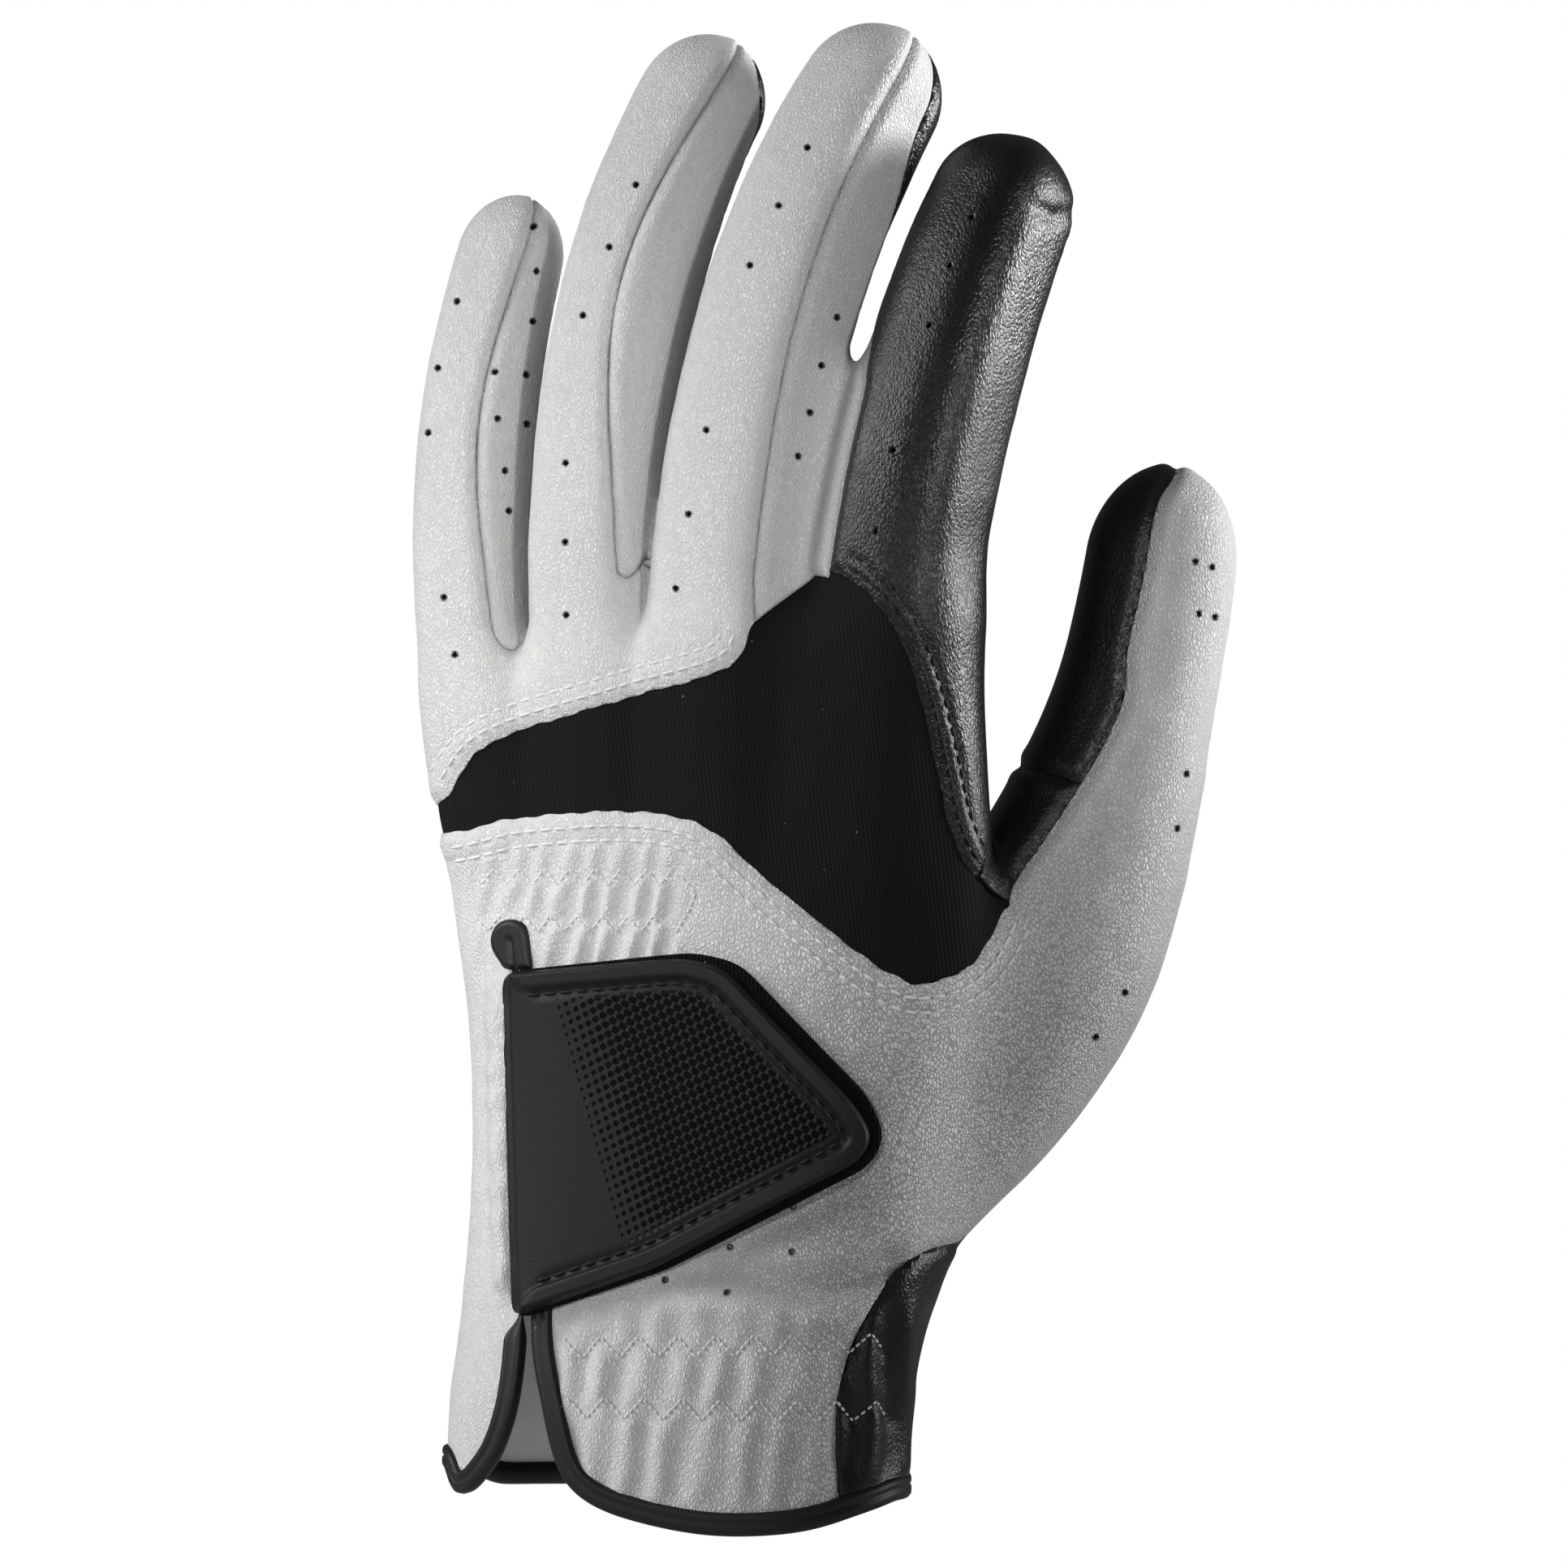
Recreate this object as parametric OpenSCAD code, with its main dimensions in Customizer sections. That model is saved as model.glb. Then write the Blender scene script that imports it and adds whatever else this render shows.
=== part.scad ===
// Left-hand golf glove, filled as on a hand, fingers up.
// X runs across the hand to the thumb, Y from the back of the hand to the palm, Z to the fingertips.
// The origin is at the middle of the cuff opening, level with the lowest point of the hem.

/* [Leather and seams] */
// Thickness of the leather and of the knit
wall = 1.0; // [0.8:0.1:1.4]
// Gap along every sewn edge
seam_gap = 0.3; // [0.2:0.05:0.5]
// Half angle that a finger's back panel spans
back_span = 54; // [46:1:60]
// Half angle that a finger's palm panel spans
palm_span = 50; // [44:1:56]

/* [Hand] */
// Turn of the back of the hand away from the front
hand_turn = 20; // [10:1:26]
// Half width over the knuckles
knuckle_half = 41.5; // [39:0.5:44]
// Half thickness over the knuckles
knuckle_depth = 14; // [12:0.5:16]
// Half width at the wrist
wrist_half = 35; // [33:0.5:38]
// Half thickness at the wrist
wrist_depth = 19; // [17:0.5:22]
// Height of the finger crotches
crotch_z = 140; // [136:0.5:144]

/* [Fingers] */
// Turn of the finger sections away from the front
finger_turn = 32; // [22:1:38]
// Half width of the little finger
little_half = 8.4; // [7.6:0.1:9]
// Half width of the ring finger
ring_half = 10.0; // [9:0.1:10.6]
// Half width of the middle finger
middle_half = 11.2; // [10:0.1:11.8]
// Half width of the index finger
index_half = 11.5; // [10.5:0.1:12]
// Half width of the thumb at its middle joint
thumb_half = 13.2; // [12:0.1:14]
// Height of the little fingertip
little_z = 205; // [198:0.5:212]
// Height of the ring fingertip
ring_z = 229; // [222:0.5:236]
// Height of the middle fingertip
middle_z = 229.8; // [223:0.5:237]
// Height of the index fingertip
index_z = 212.8; // [206:0.5:220]
// Height of the thumb tip
thumb_z = 163.6; // [158:0.5:170]

/* [Closure] */
// Thickness of the moulded rubber cover
cover_t = 1.6; // [1.2:0.1:2.2]
// Height of the raised rim on the cover
rim_h = 0.7; // [0.4:0.1:1]
// Width of the raised rim
rim_w = 3.4; // [2.4:0.1:4.4]
// Thickness of the hook pad
hook_t = 0.8; // [0.6:0.1:1.2]
// Thickness of the loop patch
loop_t = 0.6; // [0.4:0.1:0.9]
// Space between hook pad, loop patch and leather
closure_gap = 0.3; // [0.2:0.05:0.4]

/* [Cuff] */
// Width of the binding on the hem and the slit
binding_w = 3.0; // [2.4:0.1:3.8]
// Thickness of the binding tape
binding_t = 0.6; // [0.5:0.1:0.8]
// Width of each elastic inside the cuff
elastic_w = 4; // [3:0.5:5]
// Thickness of each elastic
elastic_t = 0.8; // [0.6:0.1:1]
// Height of the palm hem above the lowest point of the back hem
palm_hem_z = 6; // [5:0.5:8]

/* [Hidden] */

white = "#e8e8e6";
black = "#1c1c1d";
rubber = "#303031";
LITTLE = 0;
RING = 1;
MIDDLE = 2;
INDEX = 3;
far = 90;
digit_sides = 16;
hand_sides = 32;
section_power = 2.8;
hand_power = 2.4;

// Each digit bends along one curve from its root past a pull point to its tip
paths = [
    [[-32, 10, 112], [-42.5, 6, 160], [-27.8, 20, little_z]],
    [[-15, 4, 112], [-23.5, 0, 184], [4.1, 18, ring_z]],
    [[1.5, -2, 112], [1.0, -8, 186], [31, 12, middle_z]],
    [[26, -8, 104], [27.5, -15, 168], [49.8, 4, index_z]]];
halves = [little_half, ring_half, middle_half, index_half];
thumb_path = [[18, 6, 42], [66, 6, 90], [71.6, 8, thumb_z]];
thumb_turn = -86;
shaft_end = 0.9;
thumb_web = 0.5;
thumb_fold = 0.64;
// Where each crotch cuts the curves of the finger before it and the finger after it
crotch_us = [[0.2, 0.14], [0.2, 0.19], [0.2, 0.3]];
root_us = [0.2, 0.18, 0.17, 0.25];
finger_root_z = 145;
seam_angle = 1.2;
seam_arc = 0.2;
seam_step = 0.003;
cover_inset = 1.4;

// Height, middle across, half width and half thickness of the hand's sections
sections = [
    [-0.5, -5, wrist_half, wrist_depth],
    [18, -4.4, wrist_half, wrist_depth],
    [36, -1.5, wrist_half + 0.8, wrist_depth - 0.8],
    [56, 0.6, wrist_half + 1.6, wrist_depth - 2],
    [76, 2, knuckle_half - 3, wrist_depth - 3],
    [96, 2.2, knuckle_half - 0.4, knuckle_depth + 1],
    [112, 0.8, knuckle_half, knuckle_depth + 0.4],
    [126, -0.4, knuckle_half - 0.3, knuckle_depth],
    [crotch_z - 4, -0.6, knuckle_half - 0.5, knuckle_depth - 0.5],
    [crotch_z, -0.6, knuckle_half - 4, knuckle_depth - 3.5]];
crotch_rise = 0.16;
hand_y = 1;
side_seam = 4;
web_z = 98;
// Side seam between back and palm seen from above, in X and Y
palm_seam = [[-2 * far, (side_seam + 2 * far * sin(hand_turn)) / cos(hand_turn)],
    [4, (side_seam - 4 * sin(hand_turn)) / cos(hand_turn)], [20, -2.4], [39, -4.6], [2 * far, -4.6]];
// Round the ball of the thumb the seam swings to the palm side
ball_x = 40.5;
ball_y = 8;

// Outlines as seen from the front, in X and Z
knit_upper = [[-52, 107], [-41.5, 111.4], [-34, 120.4], [-12.7, 127.4], [3.1, 132.2], [7.4, 139.2],
    [16, 146.5], [22.3, 145], [28.5, 138], [32.3, 128.7], [34.8, 118.7], [37.3, 107.5],
    [41, 100.6], [46, 96.5]];
knit_lower = [[46, 95.5], [41, 86.8], [33.5, 83.7], [28.5, 85], [21, 90], [8.5, 100],
    [-0.3, 107.5], [-11.5, 110], [-29, 109], [-38.4, 106.9], [-52, 105]];
tab_outline = [[-30.6, 85], [-3.6, 87.6], [4.8, 84.8], [24.1, 63.5], [25, 60], [22.6, 56.4],
    [4.8, 46.4], [-6.4, 40.3], [-29, 32]];
slit_top = [-29.6, 95];
slit_half = 0.6;
hem_outline = [[-46, 12], [-39.4, 5], [-36.4, 6], [-32.6, 11], [-29.7, 20], [-28.4, 29],
    [-26.4, 29], [-25, 20], [-22.6, 10], [-18.6, 5], [-11, 2], [1, 0], [14, 0.6], [24, 3.4], [40, 9]];
finger_gap = [[16.4, 147.6], [16.6, 162], [19, 174], [24, 186.4], [30.2, 200.4], [35.6, 209], [46, 222], [56, 250]];
thumb_side = [[43.9, 86], [44.2, 97.4], [48, 106], [55.5, 130], [57, far * 2], [far, far * 2], [far, 86]];
cuff_corner = [[38.5, 43.5], [31, 41], [25, 34.6], [21, 24.8], [19.9, 17], [20.3, 0], [60, 0], [60, 43.5]];

function unit(v) = v / norm(v);
function mix(a, b, t) = a + (b - a) * t;
function signed_power(c, p) = sign(c) * pow(abs(c), p);
function bend(path, u) =
    (1 - u) * (1 - u) * path[0] + 2 * u * (1 - u) * path[1] + u * u * path[2];
function heading(path, u) = unit((1 - u) * (path[1] - path[0]) + u * (path[2] - path[1]));
function across(path, u, turn) =
    let(t = heading(path, u), r = [cos(turn), -sin(turn), 0]) unit(r - (r * t) * t);
function outward(path, u, turn) = cross(across(path, u, turn), heading(path, u));

// Smooth curve through the points of an open outline
function curve(pts, n = 3) = [
    for (i = [0 : len(pts) - 2])
        let(a = pts[max(i - 1, 0)], b = pts[i], c = pts[i + 1], d = pts[min(i + 2, len(pts) - 1)])
        for (k = [0 : n - 1])
            let(t = k / n)
            0.5 * (2 * b + (c - a) * t + (2 * a - 5 * b + 4 * c - d) * t * t
                + (3 * b - a - 3 * c + d) * t * t * t),
    pts[len(pts) - 1]];

// Closed skin over rings of equal length, with a flat cap at each end
module skin(rings) {
    n = len(rings[0]);
    m = len(rings);
    polyhedron(
        points = [for (r = rings) each r],
        faces = [
            [for (i = [n - 1 : -1 : 0]) i],
            [for (i = [0 : n - 1]) (m - 1) * n + i],
            for (j = [0 : m - 2], i = [0 : n - 1])
                let(a = j * n + i, b = j * n + (i + 1) % n)
                each [[a, b + n, a + n], [a, b, b + n]]]);
}

// Rows of a digit: place along its curve and how far its round tip has closed
rows = concat(
    [for (k = [0 : 7]) [shaft_end * k / 7, 1]],
    [for (f = [26, 48, 68, 84]) [mix(shaft_end, 1, sin(f)), cos(f)]]);

function digit_ring(path, half, turn, u, close, grow) =
    let(v = u * (1 + grow / norm(path[2] - path[0])), c = bend(path, v), r = across(path, v, turn),
        d = outward(path, v, turn), w = (half + grow) * close)
    [for (i = [0 : digit_sides - 1])
        let(a = 360 * i / digit_sides)
        c + r * w * signed_power(cos(a), 2 / section_power) + d * w * signed_power(sin(a), 2 / section_power)];

function finger_half(i, u) = halves[i] * (1 - 0.16 * pow(max(0, u - 0.45) / 0.55, 2) - 0.06 * pow(1 - u, 4));
function thumb_width(u) = thumb_half + 5 * pow(sin(180 * min(1, max(0, u / 0.8))), 2) - 2.2 * pow(u, 3);

// One closed skin for a whole piece
module whole() {
    resize([0, 0, 0])
        children();
}

module finger(i, grow = 0) {
    skin([for (row = rows)
        digit_ring(paths[i], finger_half(i, row[0]), finger_turn, row[0], row[1], grow)]);
}

module thumb(grow = 0) {
    skin([for (row = rows)
        digit_ring(thumb_path, thumb_width(row[0]), thumb_turn, row[0], row[1], grow)]);
}

function hand_ring(s, grow, lift) =
    let(b = s[3] + grow, a = sqrt(pow(s[2] + grow, 2) - pow(b * sin(hand_turn), 2)) / cos(hand_turn))
    [for (i = [0 : hand_sides - 1])
        let(q = 360 * i / hand_sides,
            r = a * signed_power(cos(q), 2 / hand_power),
            d = b * signed_power(sin(q), 2 / hand_power),
            x = s[1] + r * cos(hand_turn) - d * sin(hand_turn),
            y = hand_y - r * sin(hand_turn) - d * cos(hand_turn))
        [x, y, s[0] + lift + crotch_rise * x * pow(max(0, s[0]) / crotch_z, 4)]];

module hand(grow = 0) {
    last = len(sections) - 1;
    skin([for (k = [0 : last])
        hand_ring(sections[k], grow, k == last ? grow : k == 0 && grow < 0 ? -5 : 0)]);
}

module inside() {
    hand(-wall);
    thumb(-wall);
    for (i = [LITTLE : INDEX])
        finger(i, -wall);
}

// The whole leather shell before it is cut into panels
module shell() {
    difference() {
        union() {
            hand();
            thumb();
            for (i = [LITTLE : INDEX])
                finger(i);
        }
        inside();
    }
}

// Slice of a digit between two angles, measured from its thumb side over its back
module slice(path, turn, from, to, u0 = -0.3, u1 = 1.1, reach = 34) {
    steps = 6;
    skin([for (k = [0 : 8])
        let(u = mix(u0, u1, k / 8), c = bend(path, u), r = across(path, u, turn), d = outward(path, u, turn))
        [c, for (i = [0 : steps]) let(a = mix(from, to, i / steps)) c + reach * (r * cos(a) + d * sin(a))]]);
}

module finger_slice(i, from, to, u0) {
    slice(paths[i], finger_turn, from, to, u0, 1.1, halves[i] + 4);
}

// Where the side walls between two neighbouring fingers lie
module side_zone(i, margin = 0) {
    finger_slice(i, -90 + palm_span - margin, 90 - back_span + margin, crotch_us[i][0] - margin * seam_step);
    finger_slice(i + 1, 90 + back_span - margin, 270 - palm_span + margin, crotch_us[i][1] - margin * seam_step);
}

module side_zones(margin) {
    for (i = [LITTLE : MIDDLE])
        side_zone(i, margin);
}

// Where the black inner half of the thumb lies, between two places along it
module thumb_zone(u0, u1, margin = 0) {
    intersection() {
        thumb(0.3);
        slice(thumb_path, thumb_turn, 180 - margin, 360 + margin, u0, u1, thumb_half + 7);
    }
}

// Everything on the palm side of the side seams
module palm_zone(margin = 0) {
    difference() {
        translate([0, 0, -far])
            linear_extrude(far + finger_root_z)
                offset(delta = margin)
                    polygon(concat(palm_seam, [[2 * far, 2 * far], [-2 * far, 2 * far]]));
        translate([ball_x + margin, -2 * far, -2 * far])
            cube([3 * far, 2 * far + ball_y - margin, 2 * far + web_z]);
        intersection() {
            thumb(0.3);
            slice(thumb_path, thumb_turn, 0, 359.9, thumb_web, 1.1, thumb_half + 8);
        }
    }
    for (i = [LITTLE : INDEX])
        finger_slice(i, 270 - palm_span - margin / seam_arc, 270 + palm_span + margin / seam_arc, root_us[i]);
}

module front(y0 = -far, y1 = far) {
    translate([0, y1, 0])
        rotate([90, 0, 0])
            linear_extrude(y1 - y0)
                children();
}

module knit_shape() {
    difference() {
        polygon(concat(curve(knit_upper), curve(knit_lower)));
        offset(delta = seam_gap)
            polygon(thumb_side);
    }
}

module above_knit() {
    offset(delta = -seam_gap)
        polygon(concat(curve(knit_upper), [[far, 96], [far, 3 * far], [-far, 3 * far], [-far, 107]]));
}

module below_knit() {
    polygon(thumb_side);
    offset(delta = -seam_gap)
        polygon(concat(curve(knit_lower), [[-far, 105], [-far, -far], [far, -far], [far, 95.5]]));
}

module index_side() {
    difference() {
        polygon(concat(finger_gap, [[far, 3 * far], [far, 60], [34, 60], [20, 120]]));
        offset(delta = seam_gap)
            polygon(thumb_side);
    }
}

module slit_shape() {
    hull() {
        translate(slit_top)
            circle(slit_half, $fn = 24);
        translate([-27.4, 24])
            circle(1.5, $fn = 16);
    }
}

module cuff_shape() {
    polygon(concat(curve(hem_outline, 2), [[far, 9], [far, 2 * far], [-far, 2 * far], [-far, 12]]));
}

// Back of the cuff with its slit
module open_shape() {
    difference() {
        cuff_shape();
        slit_shape();
    }
}

module corner_shape() {
    polygon(curve(cuff_corner));
}

// Shell under one front outline, on the back of the hand
module back_piece() {
    difference() {
        intersection() {
            shell();
            front()
                children();
        }
        palm_zone(seam_gap);
        side_zones(seam_angle);
        thumb_zone(thumb_web - 0.02, 1.2, seam_angle);
    }
}

module palm_panel() {
    color(black)
        whole()
            difference() {
                intersection() {
                    shell();
                    union() {
                        palm_zone();
                        front(-far, 7)
                            offset(delta = -binding_t - seam_gap)
                                intersection() {
                                    corner_shape();
                                    cuff_shape();
                                }
                    }
                }
                side_zones(seam_angle);
                intersection() {
                    palm_zone(1 + seam_gap);
                    translate([-far, -far, -far])
                        cube([2 * far, 2 * far, far + palm_hem_z + binding_t + seam_gap]);
                }
            }
}

module knuckle_panel() {
    color(white)
        whole()
            back_piece()
                difference() {
                    above_knit();
                    index_side();
                    offset(delta = seam_gap)
                        polygon(thumb_side);
                }
}

module index_panel() {
    color(black)
        whole()
            back_piece()
                intersection() {
                    above_knit();
                    offset(delta = -seam_gap)
                        index_side();
                }
}

module stretch_insert() {
    color(black)
        whole()
            back_piece()
                knit_shape();
}

module back_panel() {
    color(white)
        whole()
            difference() {
                back_piece()
                    difference() {
                        below_knit();
                        corner_shape();
                    }
                front()
                    difference() {
                        square(4 * far, center = true);
                        offset(delta = -binding_t - seam_gap)
                            open_shape();
                    }
            }
}

module thumb_front() {
    color(black)
        whole()
            intersection() {
                shell();
                thumb_zone(thumb_fold, 1.1);
            }
}

module thumb_gusset() {
    color(black)
        whole()
            intersection() {
                shell();
                thumb_zone(thumb_web, thumb_fold - 0.01);
            }
}

// Side walls of two neighbouring fingers, joined at their crotch
module fourchette(i) {
    color(white)
        whole()
            intersection() {
                shell();
                side_zone(i);
            }
}

module fourchette_little_ring() {
    fourchette(LITTLE);
}

module fourchette_ring_middle() {
    fourchette(RING);
}

module fourchette_middle_index() {
    fourchette(MIDDLE);
}

// Layer that follows the hand between two distances from its leather
module layer(inner, outer) {
    difference() {
        hand(outer);
        hand(inner);
    }
}

// Band along the hem and the slit, between two distances from their edges
module edge_band(inner, outer) {
    difference() {
        front()
            difference() {
                offset(delta = -inner)
                    open_shape();
                offset(delta = -outer)
                    open_shape();
            }
        palm_zone();
    }
    intersection() {
        palm_zone(1);
        translate([-far, -far, palm_hem_z + inner])
            cube([2 * far, 2 * far, outer - inner]);
    }
}

module edge_binding() {
    color(black)
        whole()
            difference() {
                intersection() {
                    layer(-wall - binding_t - 0.1, binding_t + 0.1);
                    edge_band(0, binding_w);
                }
                intersection() {
                    layer(-wall - 0.1, 0.1);
                    edge_band(binding_t, binding_w + 2);
                }
            }
}

module tab_shape(inset = 0) {
    offset(r = 2, $fn = 24)
        offset(delta = -2 - inset)
            polygon(tab_outline);
}

module on_back() {
    difference() {
        children();
        palm_zone();
    }
}

module loop_patch() {
    color(black)
        whole()
        on_back()
            intersection() {
                layer(closure_gap / 2, closure_gap / 2 + loop_t);
                front()
                    intersection() {
                        tab_shape(3);
                        translate([-14, 0])
                            square(2 * far);
                    }
            }
}

module tab_hook_pad() {
    base = closure_gap * 1.5 + loop_t;
    color(black)
        whole()
        on_back()
            intersection() {
                layer(base, base + hook_t);
                front()
                    tab_shape();
            }
}

module tab_cover() {
    base = closure_gap * 1.5 + loop_t + hook_t;
    color(rubber)
        whole()
        on_back() {
            intersection() {
                layer(base, base + cover_t);
                front()
                    tab_shape(cover_inset);
            }
            intersection() {
                layer(base + cover_t / 2, base + cover_t + rim_h);
                front()
                    difference() {
                        tab_shape(cover_inset + 0.05);
                        tab_shape(cover_inset + rim_w);
                    }
            }
        }
}

module tab_anchor() {
    color(black)
        whole()
        on_back()
            intersection() {
                layer(-wall - 0.1 - hook_t, -wall - 0.1);
                front()
                    translate([-37.4, 36])
                        square([3.2, 46]);
            }
}

// Narrow elastic against the inside of the leather
module elastic(z, x0, x1) {
    color(white)
        whole()
        on_back()
            intersection() {
                layer(-wall - 0.1 - elastic_t, -wall - 0.1);
                front()
                    translate([x0, z - elastic_w / 2])
                        square([x1 - x0, elastic_w]);
            }
}

module back_elastic_upper() {
    elastic(101.5, -34, -3);
}

module back_elastic_lower() {
    elastic(91.5, -25.5, -3);
}

module cuff_elastic_upper() {
    elastic(27.8, -21, 26);
}

module cuff_elastic_lower() {
    elastic(18.6, -20, 26);
}

palm_panel();
knuckle_panel();
back_panel();
stretch_insert();
index_panel();
thumb_front();
thumb_gusset();
fourchette_little_ring();
fourchette_ring_middle();
fourchette_middle_index();
edge_binding();
loop_patch();
tab_anchor();
tab_hook_pad();
tab_cover();
back_elastic_upper();
back_elastic_lower();
cuff_elastic_upper();
cuff_elastic_lower();
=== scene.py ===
"""Left-hand golf glove, filled as on a hand: soft form, panels, seams, stitches and closure tab.

All shapes are worked out in millimetres in the part's own frame: X to the thumb, Y to the palm,
Z to the fingertips. They become metres when a mesh is made.
"""
import bpy
import numpy as np
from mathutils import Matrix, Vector


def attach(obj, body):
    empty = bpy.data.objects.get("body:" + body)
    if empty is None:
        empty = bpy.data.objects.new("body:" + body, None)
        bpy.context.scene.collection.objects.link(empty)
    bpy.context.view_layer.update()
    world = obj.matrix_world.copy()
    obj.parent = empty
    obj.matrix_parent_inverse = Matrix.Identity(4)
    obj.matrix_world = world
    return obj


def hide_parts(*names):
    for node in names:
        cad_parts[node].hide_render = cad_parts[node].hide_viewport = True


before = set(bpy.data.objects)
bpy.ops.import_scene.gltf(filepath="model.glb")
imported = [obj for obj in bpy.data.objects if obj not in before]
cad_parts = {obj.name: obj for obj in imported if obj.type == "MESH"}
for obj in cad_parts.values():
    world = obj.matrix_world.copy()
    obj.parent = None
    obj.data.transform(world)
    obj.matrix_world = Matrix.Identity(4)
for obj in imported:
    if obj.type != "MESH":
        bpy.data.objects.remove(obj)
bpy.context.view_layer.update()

# Metres in a millimetre, steps of the fine and the coarse skin, and thickness of the leather
MM = 0.001
FINE = 0.6
COARSE = 1.1
LEATHER = 0.9

# Digits as the solids have them: root, pull point and tip of the curve, half width, and turn in degrees
DIGITS = {
    "little": ([[-32, 10, 112], [-42.5, 6, 160], [-27.8, 20, 205]], 8.4, 32),
    "ring": ([[-15, 4, 112], [-23.5, 0, 184], [4.1, 18, 229]], 10.0, 32),
    "middle": ([[1.5, -2, 112], [1.0, -8, 186], [31, 12, 229.8]], 11.2, 32),
    "index": ([[26, -8, 104], [27.5, -15, 168], [49.8, 4, 212.8]], 11.5, 32),
    "thumb": ([[18, 6, 42], [66, 6, 90], [71.6, 8, 163.6]], 13.2, -86),
}
FINGERS = ["little", "ring", "middle", "index"]
SIDE_POWER = 2.8
HAND_POWER = 2.4
HAND_TURN = np.radians(20)
HAND_Y = 1.0
CROTCH_Z = 140.0
KNUCKLE_TOP = 138
# Height, middle across, half width and half thickness of the hand's sections
SECTIONS = np.array([
    [-14, -5, 35, 19], [-0.5, -5, 35, 19], [18, -4.4, 35, 19], [36, -1.5, 35.8, 18.2],
    [56, 0.6, 36.6, 17], [76, 2, 38.5, 16], [96, 2.2, 41.1, 15], [112, 0.8, 41.5, 14.4],
    [126, -0.4, 41.2, 14], [136, -0.6, 41, 13.5], [160, -0.6, 40, 13]])

# Outlines seen from the front, in X and Z
KNIT_UPPER = [[-52, 107], [-41.5, 111.4], [-34, 120.4], [-12.7, 127.4], [3.1, 132.2], [7.4, 139.2],
              [16, 146.5], [22.3, 145], [28.5, 138], [32.3, 128.7], [34.8, 118.7], [37.3, 107.5],
              [41, 100.6], [46, 96.5]]
KNIT_LOWER = [[46, 95.5], [41, 86.8], [33.5, 83.7], [28.5, 85], [21, 90], [8.5, 100],
              [-0.3, 107.5], [-11.5, 110], [-29, 109], [-38.4, 106.9], [-52, 105]]
FINGER_GAP = [[16.4, 147.6], [16.6, 162], [19, 174], [24, 186.4], [30.2, 200.4], [35.6, 209],
              [46, 222], [56, 250]]
THUMB_SIDE = [[47.6, 86], [46.6, 96.6], [48.2, 101], [50.4, 104], [56.3, 112.8], [60.3, 119.3],
              [63.9, 127.2], [64.5, 134.7], [66.9, 145.7], [69.1, 157.2], [72.3, 163.5], [74, 175]]
CUFF_CORNER = [[60, 43.5], [38.5, 43.5], [31, 41], [25, 34.6], [21, 24.8], [19.9, 17], [20.3, 0],
               [20.4, -12]]
HEM = [[-52, 9.2], [-40.2, 9.2], [-39.4, 7.2], [-38, 5.1], [-36.4, 6], [-32.6, 11], [-29.7, 20],
       [-28.5, 29], [-29, 34], [-30.3, 84], [-30.6, 88], [-30.2, 91], [-29.8, 88], [-28, 82],
       [-26.4, 60], [-26.4, 29], [-25, 20], [-22.6, 10], [-18.6, 5], [-11, 2], [1, 0], [14, 0.6],
       [24, 3.4], [34, 6.4], [60, 8]]
# Far corners that close each line round its own side
ABOVE_FRAME = [[90, 96], [90, 270], [-90, 270], [-90, 107]]
BELOW_FRAME = [[-90, 105], [-90, -90], [90, -90], [90, 95.5]]
INDEX_FRAME = [[90, 270], [90, 60], [34, 60], [20, 120]]
THUMB_FRAME = [[180, 175], [180, 60], [44, 60]]
CORNER_FRAME = [[60, -12]]
HEM_FRAME = [[90, 8], [90, 250], [-90, 250], [-90, 16]]
PALM_FRAME = [[180, 180], [-180, 180]]
# Palm's border seen from the fingertips, in X and Y, and the height of its hem
PALM_SEAM = [[-180, 69.8], [4, 2.8], [20, -2.4], [39, -4.6], [180, -4.6]]
PALM_HEM = 6.0
# Foot and top of the web beside the index, and feet of the other two fourchettes
WEB_FOOT = 139.5
WEB_TOP = 196
FORK_FEET = [[-30.2, 135.2], [-12.1, 146]]
# Turns about a finger, in degrees: the palm's edge, the fourchettes' front seam and its bulge on each finger
PALM_TURN = 40
FORK_TURN = 36
SEAM_BULGE = [22, 32, 5]
# Length of the thumb's curve, and the gusset's two ends along it as shares
THUMB_RUN = 130
GUSSET_FOOT = 0.45
GUSSET_TOP = 0.63
# Middle of the wrist across
WRIST_X = -5.0


def smooth_line(points, steps=6):
    """Catmull-Rom spline through the points of an open line, with equal steps between each two."""
    pts = np.array(points, float)
    before = np.concatenate([pts[:1], pts[:-2]])
    after = np.concatenate([pts[2:], pts[-1:]])
    t = (np.arange(steps) / steps)[None, :, None]
    a, b, c, d = before[:, None], pts[:-1, None], pts[1:, None], after[:, None]
    line = 0.5 * (2 * b + (c - a) * t + (2 * a - 5 * b + 4 * c - d) * t ** 2
                  + (3 * b - a - 3 * c + d) * t ** 3)
    return np.concatenate([line.reshape(-1, pts.shape[1]), pts[-1:]])


def even_line(line, step):
    """Points at equal distances along a line."""
    line = np.asarray(line, float)
    run = np.concatenate([[0], np.cumsum(np.linalg.norm(np.diff(line, axis=0), axis=1))])
    at = np.linspace(0, run[-1], max(2, int(round(run[-1] / step)) + 1))
    return np.stack([np.interp(at, run, line[:, k]) for k in range(line.shape[1])], 1)


def line_distance(line, x, z):
    """Distance from each point to the nearest segment of a line in the plane."""
    best = np.full(x.shape, 1e9)
    for (ax, az), (bx, bz) in zip(line[:-1], line[1:]):
        dx, dz = bx - ax, bz - az
        t = np.clip(((x - ax) * dx + (z - az) * dz) / max(dx * dx + dz * dz, 1e-12), 0, 1)
        best = np.minimum(best, (x - ax - t * dx) ** 2 + (z - az - t * dz) ** 2)
    return np.sqrt(best)


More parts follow.
